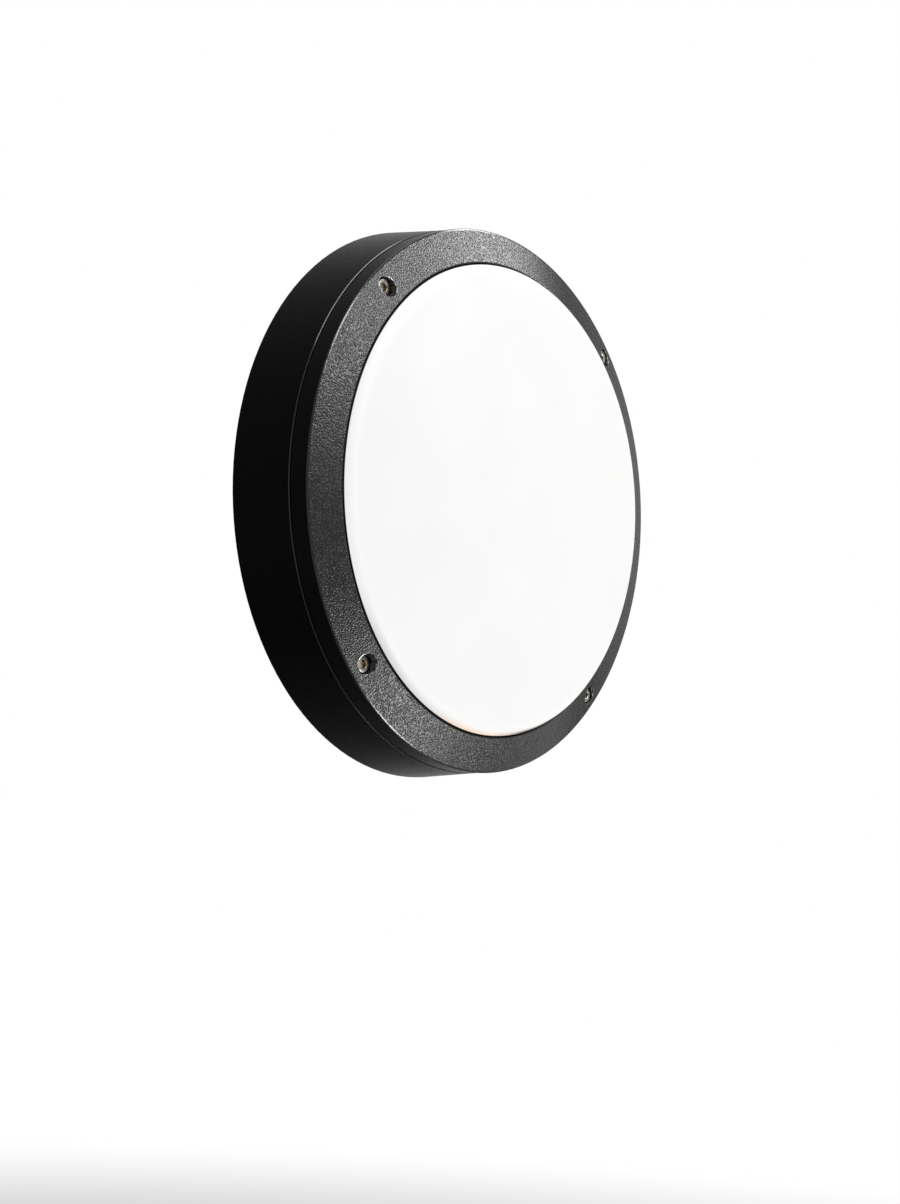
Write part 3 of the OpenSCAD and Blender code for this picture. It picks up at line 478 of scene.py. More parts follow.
# %% Ring coat and side coat
SIDE_COAT_R = 0.1385, 0.1365
ring_coat = powder_coat("ring powder coat", grey(0.0018), grey(0.0030), (0.22, 0.30), 1.0, 1.42, 0.72)
side_coat = powder_coat("side powder coat", (0.0016, 0.0013, 0.0014, 1), (0.0026, 0.0021, 0.0022, 1),
                        (0.30, 0.40), 0.4, 1.09)
side_shader, side_nodes = shader_and_nodes(side_coat)
from_axis = side_nodes.place(side_nodes.add("TexCoord").outputs["Object"])[3]
side_nodes.link(side_nodes.fit(from_axis, *SIDE_COAT_R), side_shader.inputs["Coat Weight"])
side_shader.inputs["Coat Roughness"].default_value = 0.38
side_shader.inputs["Coat IOR"].default_value = 1.34
wear("front_bezel", ring_coat)
wear("rear_housing", side_coat)
print("coats:", ring_coat.name, "and", side_coat.name)

# %% [markdown]
# ## The diffuser
#
# The opal cap is lit from behind. Its face is nearly even, because the white plastic scatters the LEDs'
# light many times; its glow is painted a little brighter towards the left. The light falls off over the
# rounded corner and down the short side wall, where it has the longest way through the plastic, and the
# wall's glow is painted brighter at the left than at the right. At the bottom the wall's glow is painted
# warmer, as warm painted light, and browner to the right, as painted shade, and a dark strip of painted
# shade lies in the bezel's shade at the lower right. No light reaches the wall's foot behind the bezel, so
# the glow is off there and the plastic's colour is painted dark as shade. All of it is worked out from Object
# coordinates, in metres.

# %% Lit opal plastic
# Glow colours of painted light and shade at the wall's bottom: warm painted light, tan painted shade to the
# right, and the brown painted shade of the lower right strip.
WARM_PAINTED_LIGHT, TAN_PAINTED_SHADE = (0.74, 0.54, 0.40, 1.0), (0.30, 0.17, 0.11, 1.0)
BROWN_SHADE = (0.110, 0.088, 0.076, 1.0)


def lit_opal(n, given, point):
    """Glow by place, with painted light and shade: a little brighter to the left, warm painted light and
    browner painted shade past the corner at the bottom, and none at the foot, where the plastic is painted
    dark.

    Each mask runs from 0 to 1 between two places: radii for the wall and the shade, heights for the foot,
    x for left and right, z for up and down.
    """
    x, y, z, radius = n.place(point)
    wall = n.fit(radius, 0.1178, 0.1215)
    # Painted shade: at the wall's foot the glow is off and the plastic's colour is painted dark.
    foot = n.fit(n.math("MULTIPLY", y, -1.0), 0.0523, 0.0519)
    # Painted shade: a strip at the lower right, in the glow and in the plastic's colour.
    low_right = n.math("MULTIPLY", n.fit(x, 0.012, 0.030), n.fit(z, -0.098, -0.110))
    shade = n.math("MULTIPLY", low_right, n.fit(radius, 0.1190, 0.1203))
    # Painted light: the face's glow is painted a little brighter towards the left.
    face_glow_painted_left = n.mix(n.fit(x, -0.118, 0.118, smooth=False), grey(0.565), grey(0.500))
    # Painted light: the wall's glow is painted brighter at the left than at the right, and set to one level
    # lower down.
    upper_painted_glow = n.mix(n.fit(x, 0.030, -0.050), grey(0.42), grey(0.82))
    wall_painted_glow = n.mix(n.fit(z, -0.050, -0.085), upper_painted_glow, grey(0.60))
    # Painted warm light at the wall's bottom, turning to tan painted shade towards the right.
    warm_light_and_shade = n.mix(n.fit(x, -0.004, 0.022), WARM_PAINTED_LIGHT, TAN_PAINTED_SHADE)
    wall_painted_glow = n.mix(n.fit(z, -0.110, -0.119), wall_painted_glow, warm_light_and_shade)
    glow = n.mix(foot, n.mix(shade, n.mix(wall, face_glow_painted_left, wall_painted_glow), BROWN_SHADE), grey(0.0))
    cloud = n.noise(point, 28.0, 2.0)
    clouded = n.mix(cloud, grey(0.21, -0.015), grey(0.23, -0.015))
    # The plastic's colour is painted dark as shade at the foot and in the lower right strip.
    plastic = n.mix(n.math("MAXIMUM", foot, shade), clouded, grey(0.01))
    satin, matt_wall = n.fit(cloud, 0.3, 0.7, 0.28, 0.34), n.fit(radius, 0.1145, 0.1182, 0.25, 0.65)
    texture = n.noise(point, 1800.0, 2.0)
    return glow, plastic, n.math("MAXIMUM", satin, matt_wall), n.bump(texture, 0.00001, 0.6)


OPAL_OUTPUTS = (("Glow", "Color"), ("Plastic", "Color"), ("Roughness", "Float"), ("Normal", "Vector"))
opal = new_material("lit opal")
opal_shader, opal_nodes = shader_and_nodes(opal)
lit = opal_nodes.add("Group", props={"node_tree": effect("lit opal", OPAL_OUTPUTS, lit_opal)})
for output, socket in zip(lit.outputs, ("Emission Color", "Base Color", "Roughness", "Normal")):
    opal_nodes.link(output, opal_shader.inputs[socket])
opal_shader.inputs["Emission Strength"].default_value = 1.0
wear("diffuser", opal)
print("diffuser lit:", [o.name for o in lit.outputs])

# %% [markdown]
# ## Fasteners, rubber and the parts inside
#
# The smaller parts each take a finish of their own. Stainless and zinc differ in colour and in how even
# they are, and a socket's inside is browner than its head. Rubber and foam are dark and rough. The plastics
# are off-white with slightly different tints. Each wire's jacket has the colour of its use, and the earth
# wire's has a yellow stripe.

# %% Finishes of the small parts
stainless = finish("stainless", metal, (0.16, 0.155, 0.145, 1), (0.32, 0.31, 0.29, 1), (0.28, 0.40), 0.6,
                   Metallic=1.0)
two_tone(stainless, "socket", 0.5, (0.26, 0.205, 0.14, 1))
zinc = finish("zinc plate", metal, (0.50, 0.51, 0.53, 1), (0.63, 0.63, 0.62, 1), (0.28, 0.5), Metallic=1.0)
brass = finish("brass", metal, (0.62, 0.44, 0.17, 1), (0.74, 0.56, 0.26, 1), (0.25, 0.42), Metallic=1.0)
tinned = finish("tinned copper", metal, (0.60, 0.58, 0.54, 1), (0.72, 0.70, 0.67, 1), (0.3, 0.45),
                Metallic=1.0)
rubber = finish("black rubber", skin, grey(0.010), grey(0.016), (0.62, 0.8), Specular_IOR_Level=0.35)
foam = finish("cell foam", powder, grey(0.014), grey(0.024), (0.85, 0.98), 1.6, Specular_IOR_Level=0.15)
silicone = finish("grey silicone", skin, grey(0.34), grey(0.42), (0.5, 0.65), Specular_IOR_Level=0.4)
white_plastic = finish("white polyamide", skin, (0.70, 0.70, 0.65, 1), (0.76, 0.76, 0.71, 1), (0.38, 0.52))
driver_plastic = finish("driver plastic", skin, (0.66, 0.66, 0.64, 1), (0.72, 0.72, 0.70, 1), (0.5, 0.66),
                        1.5)
connector_plastic = finish("connector plastic", skin, (0.78, 0.77, 0.72, 1), (0.83, 0.82, 0.78, 1),
                           (0.35, 0.45))
enamel = finish("white enamel", skin, (0.78, 0.78, 0.77, 1), (0.83, 0.83, 0.82, 1), (0.25, 0.35), 0.5)
board_mask = finish("white board mask", skin, (0.74, 0.74, 0.72, 1), (0.80, 0.80, 0.79, 1), (0.32, 0.4), 0.4)
phosphor = finish("phosphor", skin, (0.82, 0.62, 0.12, 1), (0.88, 0.72, 0.20, 1), (0.3, 0.42))
two_tone(phosphor, "phosphor", 0.3, (0.84, 0.83, 0.80, 1), beyond=False)
wear("cover_screws", stainless)
wear("cable_clamp_screws", "terminal_screws", "terminal_block_screws", "earth_washer", "driver_screws",
     "gear_tray_screws", "led_board_screws", zinc)
wear("terminal_inserts", "earth_screw", brass)
wear("earth_ring_terminal", tinned)
wear("fixing_hole_seals", "cable_grommet", "tray_wire_bush", rubber)
wear("wall_gasket", foam)
wear("diffuser_gasket", silicone)
wear("cable_clamp", "terminal_block", white_plastic)
wear("driver_case", "driver_lid", driver_plastic)
wear("led_connector", connector_plastic)
wear("gear_tray", enamel)
wear("led_board", board_mask)
wear("led_chips", phosphor)
print("finishes:", len(bpy.data.materials))

# %% Wire jackets
JACKETS = {
    "live_wire": (0.13, 0.05, 0.02),
    "neutral_wire": (0.03, 0.10, 0.42),
    "earth_wire": (0.06, 0.30, 0.05),
    "led_positive_wire": (0.42, 0.02, 0.015),
    "led_negative_wire": (0.012, 0.012, 0.013),
}
jackets = {}
for wire_name, colour in JACKETS.items():
    lighter = tuple(1.25 * c for c in colour)
    jacket = finish(wire_name.replace("_", " ") + " jacket", skin, (*colour, 1), (*lighter, 1), (0.35, 0.48))
    jackets[wire_name] = jacket
    wear(wire_name, jacket)
two_tone(jackets["earth_wire"], "stripe", 0.45, (0.66, 0.52, 0.03, 1))
print("wires:", len(JACKETS))

# %% [markdown]
# ## The bezel
#
# The bezel is a turned form, apart from its four screw holes. A turned grid can't hold a round hole, so a
# window of faces is left out round each screw. In the window, rings of points lead from the hole's edge to
# the window's border. They are mixed in the grid's own two parameters, so they stay exactly on the surface.
# The hole's edge gets a soft radius like the other edges. Under the hole a boss reaches down to the housing
# and carries the seat of the head.

# %% Sizes of the bezel, in millimetres
RIM_R, RIM_TOP = 140.0, 45.3
OPENING_R, RING_TOP = 121.5, 52.3
SKIRT_IN_R, SKIRT_BOTTOM = 137.0, 34.9
RING_WALL = 3.2077
LIP_H, LAND_R = 47.9, 126.0
SCREW_R, SEAT_H, STOP_H = 131.0, 42.0, 39.0
COUNTERBORE_R, CLEARANCE_R, BOSS_R, BOSS_ROOT_R = 5.0, 2.75, 6.5, 5.6
HOLE_ROUND, BOSS_BEVEL, GUSSET_T = 0.35, 0.3, 2.0
SCREW_DEGREES = 45, 135, 225, 315
SCREW_ANGLES = np.radians(SCREW_DEGREES)
SLOPE = (RING_TOP - RIM_TOP) / (RIM_R - OPENING_R)


def ring_height(r):
    """Height of the sloped face at radius r."""
    return RIM_TOP + (RIM_R - r) * SLOPE


def under_height(r):
    """Height of the bezel's inner face at radius r: flat under the lip, then parallel to the ring."""
    return np.where(r < LAND_R, LIP_H, ring_height(np.minimum(r, SKIRT_IN_R)) - RING_WALL)


bezel_section = refined(rounded([
    (SKIRT_IN_R, SKIRT_BOTTOM, 0.3),
    (RIM_R, SKIRT_BOTTOM, 0.5),
    (RIM_R, RIM_TOP, 0.5),
    (OPENING_R, RING_TOP, 0.8),
    (OPENING_R, LIP_H, 0.3),
    (LAND_R, LIP_H, 0),
    (LAND_R, ring_height(LAND_R) - RING_WALL, 0),
    (SKIRT_IN_R, ring_height(SKIRT_IN_R) - RING_WALL, 1.5),
]), 1.2)
section_r, section_h = bezel_section.T
print("section points:", len(section_r), "slope in degrees:", round(math.degrees(math.atan(SLOPE)), 1))

# %% A window of the turned grid with a round hole
COLUMNS = 720
# Rows are points of the section, and columns are steps round the axis. Each window reaches its columns both
# ways from the screw. The face's window also reaches its rows both ways, and the inner face's one goes on
# from the skirt.
FACE_ROWS, FACE_COLUMNS = 7, 8
UNDER_ROWS, UNDER_COLUMNS = 18, 6
RING_SPACING = np.array([0, 0.05, 0.12, 0.22, 0.35, 0.5, 0.65, 0.82, 1.0])[:, None]


def window(rows, half_width, hole_r):
    """Rings from a hole at (SCREW_R, 0) to the border of a window in the turned grid, counter-clockwise.

    A point of the surface is (s, a): s counts the section's points, a is the angle. Border points keep
    their grid values, hole points are spread evenly round the hole, and (s, a) is mixed in between by the
    ring spacing.
    """
    first, last = rows
    way = 1 if last > first else -1
    across, down = np.arange(-half_width, half_width), np.arange(first, last, way)
    s = np.concatenate([0 * across + first, down, 0 * across + last, down[::-1] + way]).astype(float)
    a = np.concatenate([across, 0 * down + half_width, -across, 0 * down - half_width]) * 2 * np.pi / COLUMNS
    number = np.arange(len(section_r))
    r = np.interp(s, number, section_r)
    start = math.atan2(r[0] * math.sin(a[0]), r[0] * math.cos(a[0]) - SCREW_R)
    round_it = start + np.linspace(0, 2 * np.pi, len(s), endpoint=False)
    x, y = SCREW_R + hole_r * np.cos(round_it), hole_r * np.sin(round_it)
    part = np.arange(min(rows), max(rows) + 1)
    part = part[np.argsort(section_r[part], kind="stable")]
    hole_s, hole_a = np.interp(np.hypot(x, y), section_r[part], part), np.arctan2(y, x)
    s, a = hole_s + (s - hole_s) * RING_SPACING, hole_a + (a - hole_a) * RING_SPACING
    r, h = (np.interp(s, number, side) for side in (section_r, section_h))
    return np.stack([r * np.cos(a), r * np.sin(a), h], -1)


print("rings between a hole and its window:", len(RING_SPACING))

# %% Rings round a screw
def hole_rings(count, start, rho, height):
    """Rings (SCREW_R + rho cos k, rho sin k), at a height per ring or a function of the light's radius."""
    round_it = start + np.linspace(0, 2 * np.pi, count, endpoint=False)
    rho = np.asarray(rho, float)[:, None]
    x, y = SCREW_R + rho * np.cos(round_it), rho * np.sin(round_it)
    height = height(np.hypot(x, y)) if callable(height) else np.asarray(height, float)[:, None]
    return np.stack([x, y, np.broadcast_to(height, x.shape)], -1)


def at_screws(rings, spin=(0, 0, 0, 0)):
    """The surface of rings (x, y, height) at the four screws: spun about a screw's axis, then the light's."""
    faces = grid_faces(rings.shape[0], rings.shape[1])
    for angle, own in zip(SCREW_ANGLES, np.radians(spin)):
        x, y = spun(rings[..., 0] - SCREW_R, rings[..., 1], own)
        yield upright(*spun(x + SCREW_R, y, angle), rings[..., 2]), faces


on_face = np.flatnonzero(np.abs(section_h - ring_height(section_r)) < 0.01)
screw_row = on_face[np.argmin(np.abs(section_r[on_face] - SCREW_R))]
skirt_row = np.flatnonzero((np.abs(section_r - SKIRT_IN_R) < 1e-6) & (section_h > STOP_H + 2))[0]
face_rows, under_rows = (screw_row - FACE_ROWS, screw_row + FACE_ROWS), (skirt_row, skirt_row - UNDER_ROWS)
face_window = window(face_rows, FACE_COLUMNS, COUNTERBORE_R + HOLE_ROUND)
under_window = window(under_rows, UNDER_COLUMNS, BOSS_ROOT_R)
print("window borders:", face_window.shape[1], under_window.shape[1],
      "radii:", section_r[[*face_rows, *under_rows]].round(2).tolist())

# %% Counterbore and boss
bend = np.radians(np.linspace(0, 90, 6))
border = face_window.shape[1]
start_face, start_under = (math.atan2(w[0, 0, 1], w[0, 0, 0] - SCREW_R) for w in (face_window, under_window))
soft_edge = hole_rings(border, start_face, COUNTERBORE_R + HOLE_ROUND * (1 - np.sin(bend)), ring_height)
soft_edge[..., 2] -= HOLE_ROUND * (1 - np.cos(bend))[:, None]
bore_r = [COUNTERBORE_R, COUNTERBORE_R - 0.2, CLEARANCE_R + 0.15, CLEARANCE_R, CLEARANCE_R, CLEARANCE_R + 0.2]
bore_h = [SEAT_H + 0.2, SEAT_H, SEAT_H, SEAT_H - 0.15, STOP_H + 0.2, STOP_H]
bore = hole_rings(border, start_face, bore_r, bore_h)
boss = hole_rings(border, start_under, [BOSS_R - BOSS_BEVEL, BOSS_R], [STOP_H, STOP_H + BOSS_BEVEL])
boss_top = hole_rings(border, start_under, [BOSS_R, BOSS_ROOT_R], lambda r: under_height(r) + 0.6)
boss_rings = np.concatenate([soft_edge, bore, boss, boss_top, under_window[:1]])
print("rings from a counterbore's edge to its boss's root:", len(boss_rings))

# %% [markdown]
# The turned grid, the windows and the bosses share their border points, so they weld into one closed
# casting. Five short ribs between each two screws stiffen the corner between ring and skirt, as they do in
# such castings.

# %% The bezel as one closed surface
def without_windows(faces, columns):
    """The turned grid's faces, less those inside the windows."""
    row, column = np.divmod(faces[:, 0], columns)
    keep = np.ones(len(faces), bool)
    for rows, half_width in ((face_rows, FACE_COLUMNS), (under_rows, UNDER_COLUMNS)):
        near = [(column - round(angle / (2 * np.pi) * columns) + half_width) % columns < 2 * half_width
                for angle in SCREW_ANGLES]
        keep &= ~((row >= min(rows)) & (row < max(rows)) & np.any(near, axis=0))
    return faces[keep]


bezel_grid, bezel_faces = turned(bezel_section, COLUMNS)
bezel_surfaces = [(bezel_grid, without_windows(bezel_faces, COLUMNS)), *at_screws(face_window),
                  *at_screws(under_window), *at_screws(boss_rings)]

GUSSET = [(LAND_R + 0.5, 47.8), (SKIRT_IN_R + 0.6, 43.6), (SKIRT_IN_R + 0.6, 39.5), (SKIRT_IN_R - 0.6, 39.5)]
BOX_FACES = np.array([[0, 1, 2, 3], [7, 6, 5, 4], [0, 4, 5, 1], [1, 5, 6, 2], [2, 6, 7, 3], [3, 7, 4, 0]])


def web(angle, outline, thickness):
    """Flat rib: a four-cornered outline in radius and height, made thick, at an angle round the axis."""
    r, h = np.array(outline, float).T
    side = np.array([-thickness / 2, thickness / 2])[:, None]
    return upright(*spun(r, side, angle), h + 0 * side), BOX_FACES


gusset_degrees = [a + 15 * i for a in SCREW_DEGREES for i in range(1, 6)]
bezel_surfaces += [web(math.radians(a), GUSSET, GUSSET_T) for a in gusset_degrees]
bezel = make_piece("bezel_casting", bezel_surfaces, ring_coat, "black_powder_coat", "front_bezel")

# %% [markdown]
# The skirt and the screw holes carry the duller coat. Round each hole, the points of its rounded edge get
# the value 1 under the name "cut", which the coat reads as the place where the drill took it off.

# %% The duller coat on the skirt and down the screw holes
def from_screw(x, z):
    """Distance to the nearest screw's axis: the least sqrt((x - R cos a)^2 + (z - R sin a)^2)."""
    away = [np.hypot(x - SCREW_R * math.cos(a), z - SCREW_R * math.sin(a)) for a in SCREW_ANGLES]
    return np.min(away, axis=0)


def coat_side(piece, coat, inner_r, top_h):
    """Second coat for faces whose middle lies beyond inner_r and below top_h, or inside a counterbore."""
    mesh = piece.data
    middle = np.empty(len(mesh.polygons) * 3)
    mesh.polygons.foreach_get("center", middle)
    x, y, z = middle.reshape(-1, 3).T / MM
    side = (np.hypot(x, z) > inner_r) & (-y < top_h) | (from_screw(x, z) < COUNTERBORE_R)
    mesh.materials.append(coat)
    mesh.polygons.foreach_set("material_index", side.astype(np.int32))
    print(piece.name, "side faces:", side.sum())


coat_side(bezel, side_coat, RIM_R - 0.3, RIM_TOP - 0.9)

# %% Bare edges of the screw holes
def bare_holes(piece):
    """Mask "cut": 1 on a counterbore's rounded edge, which is known by its distance from the screw's axis."""
    points = np.empty(len(piece.data.vertices) * 3)
    piece.data.vertices.foreach_get("co", points)
    x, y, z = points.reshape(-1, 3).T / MM
    nearest = from_screw(x, z)
    on_edge = (nearest > COUNTERBORE_R - 0.01) & (nearest < COUNTERBORE_R + HOLE_ROUND + 0.05)
    cut = on_edge & (-y > SEAT_H + 3)
    piece.data.attributes.new("cut", "FLOAT", "POINT").data.foreach_set("value", cut.astype(np.float32))
    print(piece.name, "points cut bare:", cut.sum())


bare_holes(bezel)

# %% [markdown]
# The housing's front edge stands a few tenths outside the skirt and is bevelled. It faces forward, so it
# carries the full coat too, and its bevel shows as a thin bright line along the joint at the upper left. It
# is a slim ring of its own, a hair proud of the housing.

# %% Front edge of the housing
SIDE_R, SEAM_H, EDGE_SLOPE_W, PROUD, LIP_BEVEL = 140.4, 34.5, 0.9, 0.03, 0.35
edge_low = SEAM_H - EDGE_SLOPE_W * SLOPE
lip_section = rounded([(SIDE_R - EDGE_SLOPE_W, edge_low - 0.15, 0), (SIDE_R + PROUD, edge_low - 0.15, 0),
                       (SIDE_R + PROUD, edge_low + PROUD, 0.12),
                       (SIDE_R + PROUD - LIP_BEVEL, edge_low + PROUD + LIP_BEVEL, 0.12),
                       (SIDE_R - EDGE_SLOPE_W, SEAM_H + PROUD, 0)], 4)
make_piece("housing_lip", [turned(lip_section, COLUMNS)], ring_coat, "black_powder_coat")

# %% [markdown]
# ## The opal cap
#
# The cap is blown or pressed in one piece: a face with a very shallow dome, a round corner, a short wall,
# and a flange that the bezel clamps onto a gasket. A shallow dome shows every facet in its soft highlight,
# so the face is a true sphere, and the corner is an arc that leaves the wall and meets the dome without a
# kink. The flange has four round notches where the screws pass.

# %% Section of the cap
CAP_R, CAP_IN_R, FLANGE_R = 120.8, 118.0, 125.5
FLANGE_BOTTOM, FLANGE_TOP = 45.3, 47.9
CORNER_H, DOME_TOP, CAP_WALL = 55.5, 60.5, 2.8
CORNER_ROUND, INNER_ROUND, NOTCH_R = 3.0, 1.5, 6.8
BALL = (CAP_R ** 2 + (DOME_TOP - CORNER_H) ** 2) / (2 * (DOME_TOP - CORNER_H))
BALL_H = DOME_TOP - BALL


def dome(corner_r, corner_round, ball):
    """Dome of radius ball and its round corner, from the wall at corner_r to the axis.

    The corner's centre lies corner_round inside the wall and ball - corner_round from the dome's centre, so
    the arc touches both.
    """
    r = corner_r - corner_round
    h = BALL_H + math.sqrt((ball - corner_round) ** 2 - r ** 2)
    touch = math.atan2(h - BALL_H, r)
    arc = np.linspace(0, touch, 10)
    face = np.linspace(touch, math.pi / 2, 40)[1:]
    return np.stack([np.concatenate([r + corner_round * np.cos(arc), ball * np.cos(face)]),
                     np.concatenate([h + corner_round * np.sin(arc), BALL_H + ball * np.sin(face)])], 1)


outside = dome(CAP_R, CORNER_ROUND, BALL)
inside = dome(CAP_IN_R, INNER_ROUND, BALL - CAP_WALL)[::-1]
flange = rounded([(CAP_IN_R, FLANGE_BOTTOM, 0), (FLANGE_R, FLANGE_BOTTOM, 0.3), (FLANGE_R, FLANGE_TOP, 0.3),
                  (CAP_R, FLANGE_TOP, 0)])
wall_up = np.array([[CAP_R, FLANGE_TOP + 0.4], [CAP_R, 50.0], [CAP_R, 51.5]])
wall_down = np.array([[CAP_IN_R, 51.5], [CAP_IN_R, 49.0]])
cap_section = np.vstack([inside, wall_down, flange, wall_up, outside])
print("radius of the dome's sphere in mm:", round(BALL))

# %% The cap with its notches
def notch(angle):
    """Distance from the axis to the notches' edges at an angle: the near crossing of a ray with a circle."""
    off = (angle - SCREW_ANGLES[0] + np.pi / 4) % (np.pi / 2) - np.pi / 4
    across, along = SCREW_R * np.sin(off), SCREW_R * np.cos(off)
    reach = np.sqrt(np.maximum(NOTCH_R ** 2 - across ** 2, 0))
    return np.where(reach > 0, along - reach, np.inf)


make_piece("opal_cap", [turned(cap_section, 360, closed=False, limit=notch)], opal, "opal", "diffuser")

# %% [markdown]
# ## The cover screws
#
# The four screws are M5 socket heads of stainless steel. A forged head has a small round round its top, a
# bevelled mouth to its hexagon, and a cone at the socket's floor where the punch stopped. All of it is one
# grid of rings: each ring's radius is a function of the angle, so a ring can be a circle, a hexagon or a
# turn of the thread.

# %% Rings of a socket screw
HEAD_R, HEAD_H, SOCKET_AF, SOCKET_DEPTH = 4.25, 4.3, 4.0, 2.3
THREAD_R, THREAD_DEPTH, PITCH, SCREW_LENGTH = 2.5, 0.42, 0.8, 16.0
around = np.linspace(0, 2 * np.pi, 72, endpoint=False)
hexagon = SOCKET_AF / 2 / np.cos((around + np.pi / 6) % (np.pi / 3) - np.pi / 6)
mouth_r, socket_floor = hexagon.max() + 0.12, HEAD_H - SOCKET_DEPTH
socket = [(0, socket_floor - 0.9), (hexagon * 0.5, socket_floor - 0.45), (hexagon - 0.03, socket_floor),
          (hexagon, socket_floor + 0.05), (hexagon, HEAD_H - (mouth_r - hexagon) * 0.8), (mouth_r, HEAD_H),
          (mouth_r + 0.15, HEAD_H)]
crown = rounded([(HEAD_R, 0, 0.15), (HEAD_R, HEAD_H, 0.55), (0, HEAD_H, 0), (0, 0, 0)], 5)
head = [*crown[crown[:, 0] > 3.4][::-1], (THREAD_R + 0.15, 0), (THREAD_R, -0.15)]
print("rings of the socket:", len(socket), "and of the head:", len(head))

# %% Thread, tip and the four screws
drop = np.arange(0.25, SCREW_LENGTH - 0.5, PITCH / 6)[:, None]
turns = np.abs(2 * ((drop / PITCH + around / (2 * np.pi)) % 1) - 1)
fade = np.clip((drop - 0.25) / 0.8, 0, 1) * np.clip((SCREW_LENGTH - 0.5 - drop) / 0.8, 0, 1)
groove = THREAD_DEPTH * np.clip(1.35 * turns - 0.18, 0, 1) * fade
thread = list(zip(THREAD_R - groove, -drop))
tip = [(THREAD_R - 0.1, 0.4 - SCREW_LENGTH), (1.9, -SCREW_LENGTH), (0, -SCREW_LENGTH)]
screw_profile = (*socket, *head, *thread, *tip)
screw_r, screw_h = (np.array([np.broadcast_to(ring[k], around.shape) for ring in screw_profile])
                    for k in (0, 1))
screw_rings = np.stack([SCREW_R + screw_r * np.cos(around), screw_r * np.sin(around), SEAT_H + screw_h], -1)
in_socket = np.repeat(np.arange(len(screw_r)) < 5, len(around))
make_piece("socket_screws", list(at_screws(screw_rings, spin=(8, 31, -17, 22))), stainless, "stainless",
           "cover_screws", sharp=35, masks={"socket": np.tile(in_socket, 4).astype(float)})

# %% [markdown]
# ## The foam ring on the back
#
# A closed-cell foam ring in the base's groove seals the light to the wall. Cut foam isn't sharp: its edges
# are soft and its width wanders by a tenth of a millimetre or so.

# %% Foam ring
FOAM_IN_R, FOAM_MIDDLE_R, FOAM_OUT_R, FOAM_H = 135.9, 137.9, 139.9, 2.5
foam_section = rounded([(FOAM_IN_R, 0, 0.5), (FOAM_OUT_R, 0, 0.5), (FOAM_OUT_R, FOAM_H, 0.3),
                        (FOAM_IN_R, FOAM_H, 0.3)], 4)
foam_points, foam_faces = turned(refined(foam_section, 0.9), 360)
swing, foam_h = np.arctan2(foam_points[..., 2], foam_points[..., 0]), -foam_points[..., 1]
wander = (0.05 * np.sin(9 * swing + 4 * foam_h) + 0.04 * np.sin(23 * swing + 2)
          + 0.03 * np.sin(57 * swing - foam_h))
foam_r = np.hypot(foam_points[..., 0], foam_points[..., 2])
shrink = 1 - (0.12 - wander) * np.sign(foam_r - FOAM_MIDDLE_R) / foam_r
foam_points = foam_points * np.stack([shrink, np.ones_like(shrink), shrink], -1)
make_piece("foam_ring", [(foam_points, foam_faces)], foam, "foam", "wall_gasket")

# %% [markdown]
# ## The wires
#
# The five wires inside are single insulated cores, laid in loose curves between their terminals. Each
# follows the points of its route in the CAD model, on a Catmull-Rom curve, which passes through every
# point. A ring of points is carried along it, square to the way the wire runs.

# %% Tube along a route
def route(points, steps=10):
    """Catmull-Rom curve: between b and c, with neighbours a and d, a cubic that leaves b along c - a."""
    p = np.array(points, float)
    a, b = np.vstack([p[:1], p[:-2]])[:, None], p[:-1, None]
    c, d = p[1:, None], np.vstack([p[2:], p[-1:]])[:, None]
    s = (np.arange(steps) / steps)[:, None]
    curve = b + s * ((c - a) + s * ((2 * a - 5 * b + 4 * c - d) + s * (3 * b - a - 3 * c + d))) / 2
    return np.vstack([curve.reshape(-1, 3), p[-1:]])


def wire(name, points, radius, material, slot, sides=20):
    """Round wire: centre + radius (cos k u + sin k v), with u and v square to the run; both ends are closed.

    The mask "stripe" is the cosine of an angle that turns slowly along the length.
    """
    centre = route(points)
    run = np.gradient(centre, axis=0)
    run /= np.linalg.norm(run, axis=1, keepdims=True)
    u = np.cross(run, (0.25, -0.15, 0.95))
    u /= np.linalg.norm(u, axis=1, keepdims=True)
    v = np.cross(run, u)
    round_it = np.linspace(0, 2 * np.pi, sides, endpoint=False)
    order = np.concatenate([[0, 0], np.arange(len(centre)), [len(centre) - 1] * 2])
    swell = np.concatenate([[0, 0.85 * radius], np.full(len(centre), radius), [0.85 * radius, 0]])
    ring = np.cos(round_it)[:, None] * u[order, None] + np.sin(round_it)[:, None] * v[order, None]
    skin_points = centre[order, None] + swell[:, None, None] * ring
    length = run_length(centre)[order]
    stripe = np.cos(round_it + 0.02 * length[:, None])
    surface = upright(*np.moveaxis(skin_points, -1, 0)), grid_faces(len(order), sides)
    print(name, "is", round(length[-1]), "mm long")
    make_piece(name.replace("_wire", "_core"), [surface], material, slot, name, masks={"stripe": stripe})


print("points of a route with three stops:", len(route([(0, 0, 0), (1, 0, 0), (1, 1, 0)])))

